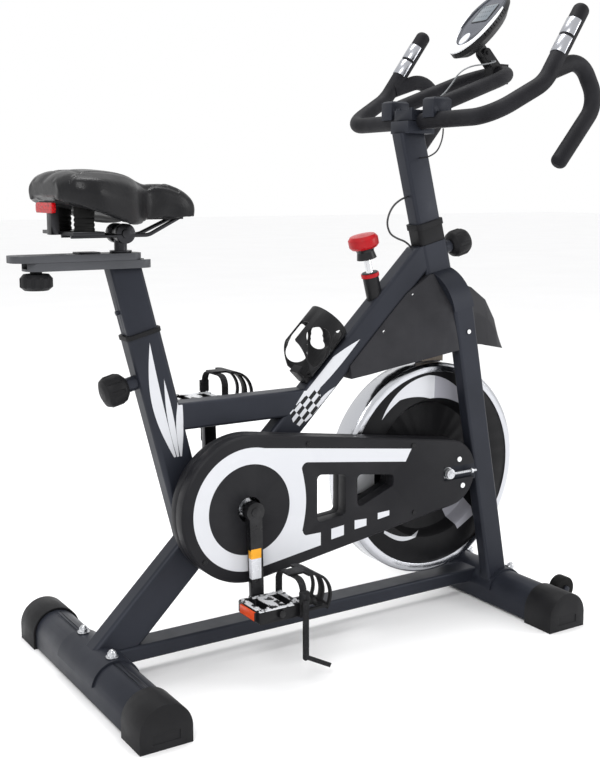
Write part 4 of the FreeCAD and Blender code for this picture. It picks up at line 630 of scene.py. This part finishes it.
def lcd():
    """A slate liquid-crystal window with plain blocks for readings and a black rim."""
    s = Surface("lcd_window", (0.13, 0.15, 0.17), Specular_IOR_Level=0.3)
    x, y, z = s.xyz()
    centre = CONSOLE * MM
    up, _ = turned(x - centre.x, z - centre.z, CONSOLE_RISE)
    rows = (up * 0.45).sine() > 0.35
    marks = (y * 0.9).sine() > 0.1
    area = (up.size() < LCD_MARKS[0]) & (y.size() < LCD_MARKS[1])
    s.mix(rows & marks & area, (0.05, 0.06, 0.07))
    rim = (up.size() > LCD_CLEAR[0]) | (y.size() > LCD_CLEAR[1])
    s.mix(rim, (0.02, 0.02, 0.022))
    s.vary_colour(s.noise(200, 2), (0.15, 0.17, 0.19), 0.5, 0.9)
    s.roughen(s.noise(60, 2), 0.1, 0.22)
    s.raise_by(s.noise(300, 2), 0.00002, 0.3)
    return s.material


def make_materials():
    """Every material by the name used below."""
    return {
        "frame": powder_coat("frame_coat", CHARCOAL, frame_decals),
        "coat": powder_coat("plain_coat", CHARCOAL),
        "slider": powder_coat("slider_coat", (0.060, 0.062, 0.068)),
        "plastic": moulded("black_plastic", (0.009, 0.009, 0.010)),
        "button": moulded("button_grey", (0.46, 0.47, 0.50), 0.36),
        "cover": moulded("cover_plastic", (0.022, 0.022, 0.025), 0.38, 1100),
        "guard": guard_black(),
        "wheel": wheel_black(),
        "rim": turned_metal("wheel_rim", (0.52, 0.53, 0.56), WHEEL, 0.16),
        "pulley": turned_metal("pulley_alloy", (0.55, 0.56, 0.58), CRANK),
        "chrome": polished("chrome_plate", (0.80, 0.81, 0.83)),
        "plate": polished("pulse_metal", (0.42, 0.43, 0.46), 0.2),
        "zinc": zinc(),
        "crank": polished("crank_black", (0.035, 0.035, 0.038), 0.3),
        "label": labelled_crank(),
        "screws": screw_heads(),
        "rubber": rubber(),
        "vinyl": vinyl(),
        "foam": foam(),
        "pedal_right": pedal_metal("right_pedal", "pedal_right"),
        "pedal_left": pedal_metal("left_pedal", "pedal_left"),
        "webbing": webbing(),
        "felt": felt(),
        "belt": belt_ribs(),
        "knob": knob_colours(),
        "sleeve": sleeve_colours(),
        "reflector": reflector("red_reflector", (0.62, 0.004, 0.008)),
        "console": console_shell(),
        "lcd": lcd(),
        "cable": cable("black_cable", (0.020, 0.020, 0.022)),
        "wire": cable("grey_wire", (0.20, 0.21, 0.22)),
    }


FINISHES = {
    "frame": "frame",
    "floor_bar_rear": "coat",
    "floor_bar_front": "coat",
    "end_caps": "plastic",
    "bar_bolts": "zinc",
    "roller_lugs": "coat",
    "roller_right": "rubber",
    "roller_left": "rubber",
    "post_sleeves": "plastic",
    "seat_pin": "plastic",
    "handlebar_pin": "plastic",
    "flywheel": "wheel",
    "flywheel_rim": "rim",
    "drive_pulley": "pulley",
    "small_pulley": "pulley",
    "drive_belt": "belt",
    "wheel_axle": "zinc",
    "crank_axle": "zinc",
    "bearing_cups": "crank",
    "crank_right": "label",
    "crank_left": "crank",
    "pedal_right": "pedal_right",
    "pedal_left": "pedal_left",
    "toe_cage_right": "plastic",
    "toe_cage_left": "plastic",
    "strap_right": "webbing",
    "strap_left": "webbing",
    "guard_outer": "guard",
    "guard_inner": "guard",
    "cover_screws": "screws",
    "cover_right": "cover",
    "cover_left": "cover",
    "brake_sleeve": "sleeve",
    "brake_rod": "chrome",
    "brake_knob": "knob",
    "brake_arm": "zinc",
    "brake_pad": "felt",
    "bottle_cage": "plastic",
    "seat_post": "coat",
    "slide_base": "slider",
    "slide_rail": "slider",
    "slide_knob": "plastic",
    "saddle_pillar": "crank",
    "saddle_cushion": "vinyl",
    "saddle_pan": "plastic",
    "saddle_bumpers": "rubber",
    "saddle_frame": "crank",
    "saddle_reflector": "reflector",
    "handlebar_post": "coat",
    "handlebar": "foam",
    "forearm_loop": "foam",
    "bar_clamps": "coat",
    "pulse_plates": "plate",
    "console_body": "console",
    "console_screen": "lcd",
    "console_button": "button",
    "console_bracket": "plastic",
    "sensor_cable": "cable",
    "console_wire": "wire",
    "pulse_wire": "cable",
}

WELD_REACH = 0.00002  # metres
SHARP = math.radians(32)  # edges sharper than this are bevelled
CUT_EDGE = 0.6  # bevel of a plain edge, in millimetres
SOFT_EDGES = {
    # bevels of the nodes whose moulded or cast edges are rounder
    "end_caps": 3.0,
    "cover_right": 2.5,
    "cover_left": 2.5,
    "guard_outer": 1.6,
    "guard_inner": 1.6,
    "toe_cage_right": 1.2,
    "toe_cage_left": 1.2,
    "console_body": 1.2,
    "bar_clamps": 1.6,
    "bottle_cage": 1.0,
    "saddle_pan": 2.5,
}

# The frame's tubes touch face to face, so welding them would spoil their shading, and
# their corners are round already.
LEFT_AS_PACKED = ("frame",)


def shade_smooth(mesh):
    """Shade every face of a mesh smooth."""
    for face in mesh.polygons:
        face.use_smooth = True


def finish_nodes(materials):
    """Give every CAD node its material and a small rounded edge that catches light."""
    for name, node in NODES.items():
        node.data.materials.clear()
        node.data.materials.append(materials[FINISHES[name]])
        if name in LEFT_AS_PACKED:
            continue
        shade_smooth(node.data)
        weld = node.modifiers.new("weld", "WELD")
        weld.merge_threshold = WELD_REACH
        bevel = node.modifiers.new("edge", "BEVEL")
        bevel.width = SOFT_EDGES.get(name, CUT_EDGE) / MM
        bevel.segments = 2
        bevel.limit_method = "ANGLE"
        bevel.angle_limit = SHARP
        bevel.harden_normals = True


# ----------------------------------------------------------------------- cords

ROUTES = {
    # name: diameter, the body it rides on, then its control points as from_crank()
    # takes them
    "sensor_cable": (
        4.0,
        "frame",
        (
            (414.9, 0, 859.9),
            (399.4, 0, 856.0),
            (376.0, 0, 840.0),
            (363.0, 0, 812.0),
            (370.0, 0, 788.0),
            (388.0, 0, 777.5),
            (414.3, 0, 769.6),
            (425.5, 0, 758.3),
        ),
    ),
    "console_wire": (
        3.0,
        "handlebar",
        (
            (616.0, -13.0, 1134.0),
            (616.0, -25.0, 1134.0),
            (603.0, -40.0, 1129.0),
            (570.0, -48.0, 1122.0),
            (534.0, -47.0, 1117.0),
            (507.0, -43.0, 1104.0),
            (490.0, -40.0, 1080.0),
            (473.0, -37.0, 1060.0),
            (452.0, -31.0, 1044.0),
            (438.0, -30.0, 1037.0),
            (431.0, -39.5, 1035.0),
            (431.0, -50.0, 1035.0),
        ),
    ),
    "pulse_wire": (
        3.0,
        "handlebar",
        (
            (428.0, -92.0, 990.1),
            (428.0, -92.0, 979.6),
            (430.0, -84.0, 963.0),
            (433.0, -69.0, 948.0),
            (434.0, -50.0, 940.0),
            (432.0, -33.0, 936.0),
            (430.0, -18.2, 936.0),
        ),
    ),
}


def spline_length(curve):
    """The length of a curve's own line."""
    graph = bpy.context.evaluated_depsgraph_get()
    bevel = curve.data.bevel_depth
    curve.data.bevel_depth = 0
    bpy.context.view_layer.update()
    line = bpy.data.meshes.new_from_object(curve.evaluated_get(graph))
    points = [v.co.copy() for v in line.vertices]
    bpy.data.meshes.remove(line)
    curve.data.bevel_depth = bevel
    return sum((b - a).length for a, b in zip(points, points[1:]))


def make_cord(name, diameter, body, route, material):
    """One free cable as a smooth tube along its route."""
    data = bpy.data.curves.new(f"{name}_line", "CURVE")
    data.dimensions = "3D"
    data.resolution_u = 12
    data.bevel_resolution = 4
    data.use_fill_caps = True
    spline = data.splines.new("NURBS")
    spline.points.add(len(route) - 1)
    for point, place in zip(spline.points, route):
        point.co = (*from_crank(*place), 1)
    spline.order_u = 3
    spline.use_endpoint_u = True
    cord = bpy.data.objects.new(f"{name}_cord", data)
    bpy.context.scene.collection.objects.link(cord)
    length = spline_length(cord)
    data.bevel_depth = diameter / 2 / MM
    data.materials.append(material)
    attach(cord, body)
    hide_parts(name)
    from_crank(*route[0])
    diameter / MM


def make_cords(materials):
    """The three thin cables."""
    for name, (diameter, body, route) in ROUTES.items():
        make_cord(name, diameter, body, route, materials[FINISHES[name]])


# ---------------------------------------------------------------------- saddle

SADDLE = (
    # millimetres forward of the crank, half width, then heights above the floor:
    # underside, skirt and top
    (-64, 13, 829, 827, 846),
    (-70, 21, 829, 825, 860),
    (-92, 28, 829, 823, 876),
    (-128, 31, 829, 821, 886),
    (-162, 35, 829, 818, 884),
    (-182, 50, 830, 811, 889),
    (-204, 74, 833, 807, 898),
    (-235, 96, 838, 815, 904),
    (-285, 117, 848, 832, 907),
    (-320, 106, 856, 845, 902),
    (-340, 74, 862, 853, 888),
)

RING_STEPS = 64  # points round a section
STATION_STEPS = 5  # sections from one station to the next
VOXEL = 0.004  # grain of the even skin that the cloth starts from, in metres
PUFF_PRESSURE = 4.0
PUFF_MOST = 0.003  # no point moves further than this, in metres
PUFF_FRAMES = 20
CLOTH_TENSION = 40
CLOTH_BENDING = 8
UPPER_SIDE = 868  # seams are pressed only above this height


def between_stations():
    """The saddle's stations with smooth ones in between."""
    rows = []
    last = len(SADDLE) - 1
    for i in range(last):
        around = [Vector(SADDLE[min(max(k, 0), last)]) for k in (i - 1, i, i + 1, i + 2)]
        a, b, c, d = around
        for step in range(STATION_STEPS):
            t = step / STATION_STEPS
            linear = b + (c - b) * t
            bend = (b * 2 - a - c) * (1 - t) + (c * 2 - b - d) * t
            rows.append(linear + bend * (t * (1 - t) * 0.5))
    rows.append(Vector(SADDLE[last]))
    return rows


def eased(corners, i):
    """A corner drawn towards its neighbours, so that the section comes out round."""
    before, here, after = (Vector(corners[(i + k) % len(corners)]) for k in (-1, 0, 1))
    return (before + here * 4 + after) / 6


def saddle_ring(half, low, skirt, high):
    """One section: domed top, rounded flanks, a skirt and a hollow underside."""
    rise = high - low
    right = [
        (0.0, low),
        (0.45, low),
        (0.70, low),
        (0.84, skirt),
        (0.94, skirt + 1),
        (1.0, low + 0.35 * rise),
        (0.95, low + 0.68 * rise),
        (0.72, low + 0.90 * rise),
        (0.40, low + 0.99 * rise),
        (0.0, low + 0.97 * rise),
    ]
    corners = [(half * y, z) for y, z in right]
    corners += [(-y, z) for y, z in corners[-2:0:-1]]
    ring = []
    for step in range(RING_STEPS):
        place = step * len(corners) / RING_STEPS
        i = int(place)
        ring.append(eased(corners, i).lerp(eased(corners, i + 1), place - i))
    return ring


def new_piece(name, mesh, material):
    """Link a finished bmesh as an object with smooth faces."""
    data = bpy.data.meshes.new(name)
    mesh.to_mesh(data)
    mesh.free()
    shade_smooth(data)
    data.materials.append(material)
    piece = bpy.data.objects.new(name, data)
    bpy.context.scene.collection.objects.link(piece)
    return piece


def loft(rings):
    """A closed skin through rings of equal count."""
    mesh = bmesh.new()
    rows = [[mesh.verts.new(point) for point in ring] for ring in rings]
    count = len(rows[0])
    for first, second in zip(rows, rows[1:]):
        for i in range(count):
            j = (i + 1) % count
            mesh.faces.new((first[i], first[j], second[j], second[i]))
    mesh.faces.new(rows[0][::-1])
    mesh.faces.new(rows[-1])
    bmesh.ops.recalc_face_normals(mesh, faces=mesh.faces)
    return mesh


def keep_shape(piece, modifier):
    """Make the shape that a modifier gives the piece's own mesh."""
    graph = bpy.context.evaluated_depsgraph_get()
    mesh = bpy.data.meshes.new_from_object(piece.evaluated_get(graph))
    piece.modifiers.remove(modifier)
    piece.data = mesh


def puff(piece):
    """Blow the cushion up a little as cloth, and keep the result."""
    start = [v.co.copy() for v in piece.data.vertices]
    cloth = piece.modifiers.new("cloth", "CLOTH")
    cloth.settings.use_pressure = True
    cloth.settings.uniform_pressure_force = PUFF_PRESSURE
    cloth.settings.effector_weights.gravity = 0
    cloth.settings.tension_stiffness = CLOTH_TENSION
    cloth.settings.bending_stiffness = CLOTH_BENDING
    cloth.point_cache.frame_start = 1
    cloth.point_cache.frame_end = PUFF_FRAMES
    for number in range(1, PUFF_FRAMES + 1):
        bpy.context.scene.frame_set(number)
    graph = bpy.context.evaluated_depsgraph_get()
    after = bpy.data.meshes.new_from_object(piece.evaluated_get(graph))
    moved = [v.co.copy() for v in after.vertices]
    bpy.data.meshes.remove(after)
    piece.modifiers.remove(cloth)
    for vertex, before, now in zip(piece.data.vertices, start, moved):
        step = now - before
        if step.length > PUFF_MOST:
            step = step.normalized() * PUFF_MOST
        vertex.co = before + step
    bpy.context.scene.frame_set(1)


def groove(distance, width, depth):
    """How deep a soft groove is at a distance from its middle line."""
    return math.exp(-((distance / width) ** 2)) * depth


def press_seams(piece):
    """Sew the channels: along the wing panels, across the rear and down the middle."""
    for vertex in piece.data.vertices:
        x = (vertex.co.x - CRANK.x) * MM
        y = abs(vertex.co.y * MM)
        z = vertex.co.z * MM
        if z < UPPER_SIDE:
            continue
        wing = 20 + max(0.0, -x - 150) * 0.40
        seam = groove(y - wing, 3.0, 3.0) if -325 < x < -100 else 0.0
        rear = groove(x + 305, 3.4, 2.4) if y < wing else 0.0
        channel = groove(y, 13, 4.0) if x < -120 else 0.0
        vertex.co.z -= (max(seam, rear) + channel) / MM


def make_saddle(materials):
    """The padded saddle with its pressed seams."""
    rings = []
    for x, half, low, skirt, high in between_stations():
        # a little small all round, which leaves room for the puff
        ring = saddle_ring(half * 0.985, low + 1.5, skirt, high - 1)
        rings.append([from_crank(x, y, z) for y, z in ring])
    cushion = new_piece("saddle_pad", loft(rings), materials["vinyl"])
    remesh = cushion.modifiers.new("remesh", "REMESH")
    remesh.mode = "VOXEL"
    remesh.voxel_size = VOXEL
    keep_shape(cushion, remesh)
    puff(cushion)
    refine = cushion.modifiers.new("fine", "SUBSURF")
    refine.levels = 1
    keep_shape(cushion, refine)
    press_seams(cushion)
    shade_smooth(cushion.data)
    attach(cushion, "saddle")
    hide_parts("saddle_cushion")


# ----------------------------------------------------------------- the setting

FLOOR_HALF = 30  # half the floor's side, in metres
AIM = Vector((0, 0, 0.6))  # what every light points at
LIGHTS = (
    # name, place, width and height in metres, power in watts
    ("key", (-2.6, -2.4, 3.2), 1.2, 1.2, 60),
    ("fill", (2.8, -2.2, 1.6), 0.8, 2.0, 30),
    ("top", (0.2, 0.6, 3.6), 2.0, 1.0, 60),
)


def make_floor():
    """A plain pale floor."""
    mesh = bmesh.new()
    bmesh.ops.create_grid(mesh, x_segments=2, y_segments=2, size=FLOOR_HALF)
    s = Surface("pale_floor", (0.97, 0.97, 0.975), Roughness=0.9, Specular_IOR_Level=0.1)
    s.vary_colour(s.noise(1.5, 2), (0.95, 0.95, 0.955), 0.3, 0.7)
    floor = new_piece("floor", mesh, s.material)


def area_light(name, place, width, height, power):
    """A soft rectangular light aimed at the bike."""
    data = bpy.data.lights.new(name, "AREA")
    data.shape = "RECTANGLE"
    data.size = width
    data.size_y = height
    data.energy = power
    light = bpy.data.objects.new(name, data)
    light.location = place
    light.rotation_euler = (AIM - light.location).to_track_quat("-Z", "Y").to_euler()
    bpy.context.scene.collection.objects.link(light)


def make_lights():
    """A bright plain room and three soft boxes."""
    world = bpy.data.worlds.new("studio")
    world.use_nodes = True
    background = world.node_tree.nodes["Background"]
    background.inputs["Color"].default_value = (1, 1, 1, 1)
    background.inputs["Strength"].default_value = 1.0
    bpy.context.scene.world = world
    bpy.context.scene.view_settings.view_transform = "Standard"
    for light in LIGHTS:
        area_light(*light)


CAMERA = {
    # place in millimetres from the crank, angles in degrees, lens in millimetres
    "place": (-979.0, -1814.0, 875.3),
    "heading": 32.62,
    "dip": 8.36,
    "lens": 53.59,
    "shift_x": -0.0125,
    "shift_y": -0.0325,
}


def make_camera():
    """The camera at the rider's right, behind, a little above the crank."""
    data = bpy.data.cameras.new("view")
    data.lens = CAMERA["lens"]
    data.sensor_width = 36.0
    data.shift_x = CAMERA["shift_x"]
    data.shift_y = CAMERA["shift_y"]
    camera = bpy.data.objects.new("view", data)
    camera.location = from_crank(*CAMERA["place"])
    heading = math.radians(CAMERA["heading"])
    dip = math.radians(CAMERA["dip"])
    ahead = Vector(
        (
            math.sin(heading) * math.cos(dip),
            math.cos(heading) * math.cos(dip),
            -math.sin(dip),
        )
    )
    camera.rotation_euler = ahead.to_track_quat("-Z", "Y").to_euler()
    bpy.context.scene.collection.objects.link(camera)
    bpy.context.scene.camera = camera


# ----------------------------------------------------------------------- build


def build():
    """Put the looks on the frame."""
    materials = make_materials()
    make_camera()
    make_cords(materials)
    finish_nodes(materials)
    make_saddle(materials)
    make_floor()
    make_lights()


build()
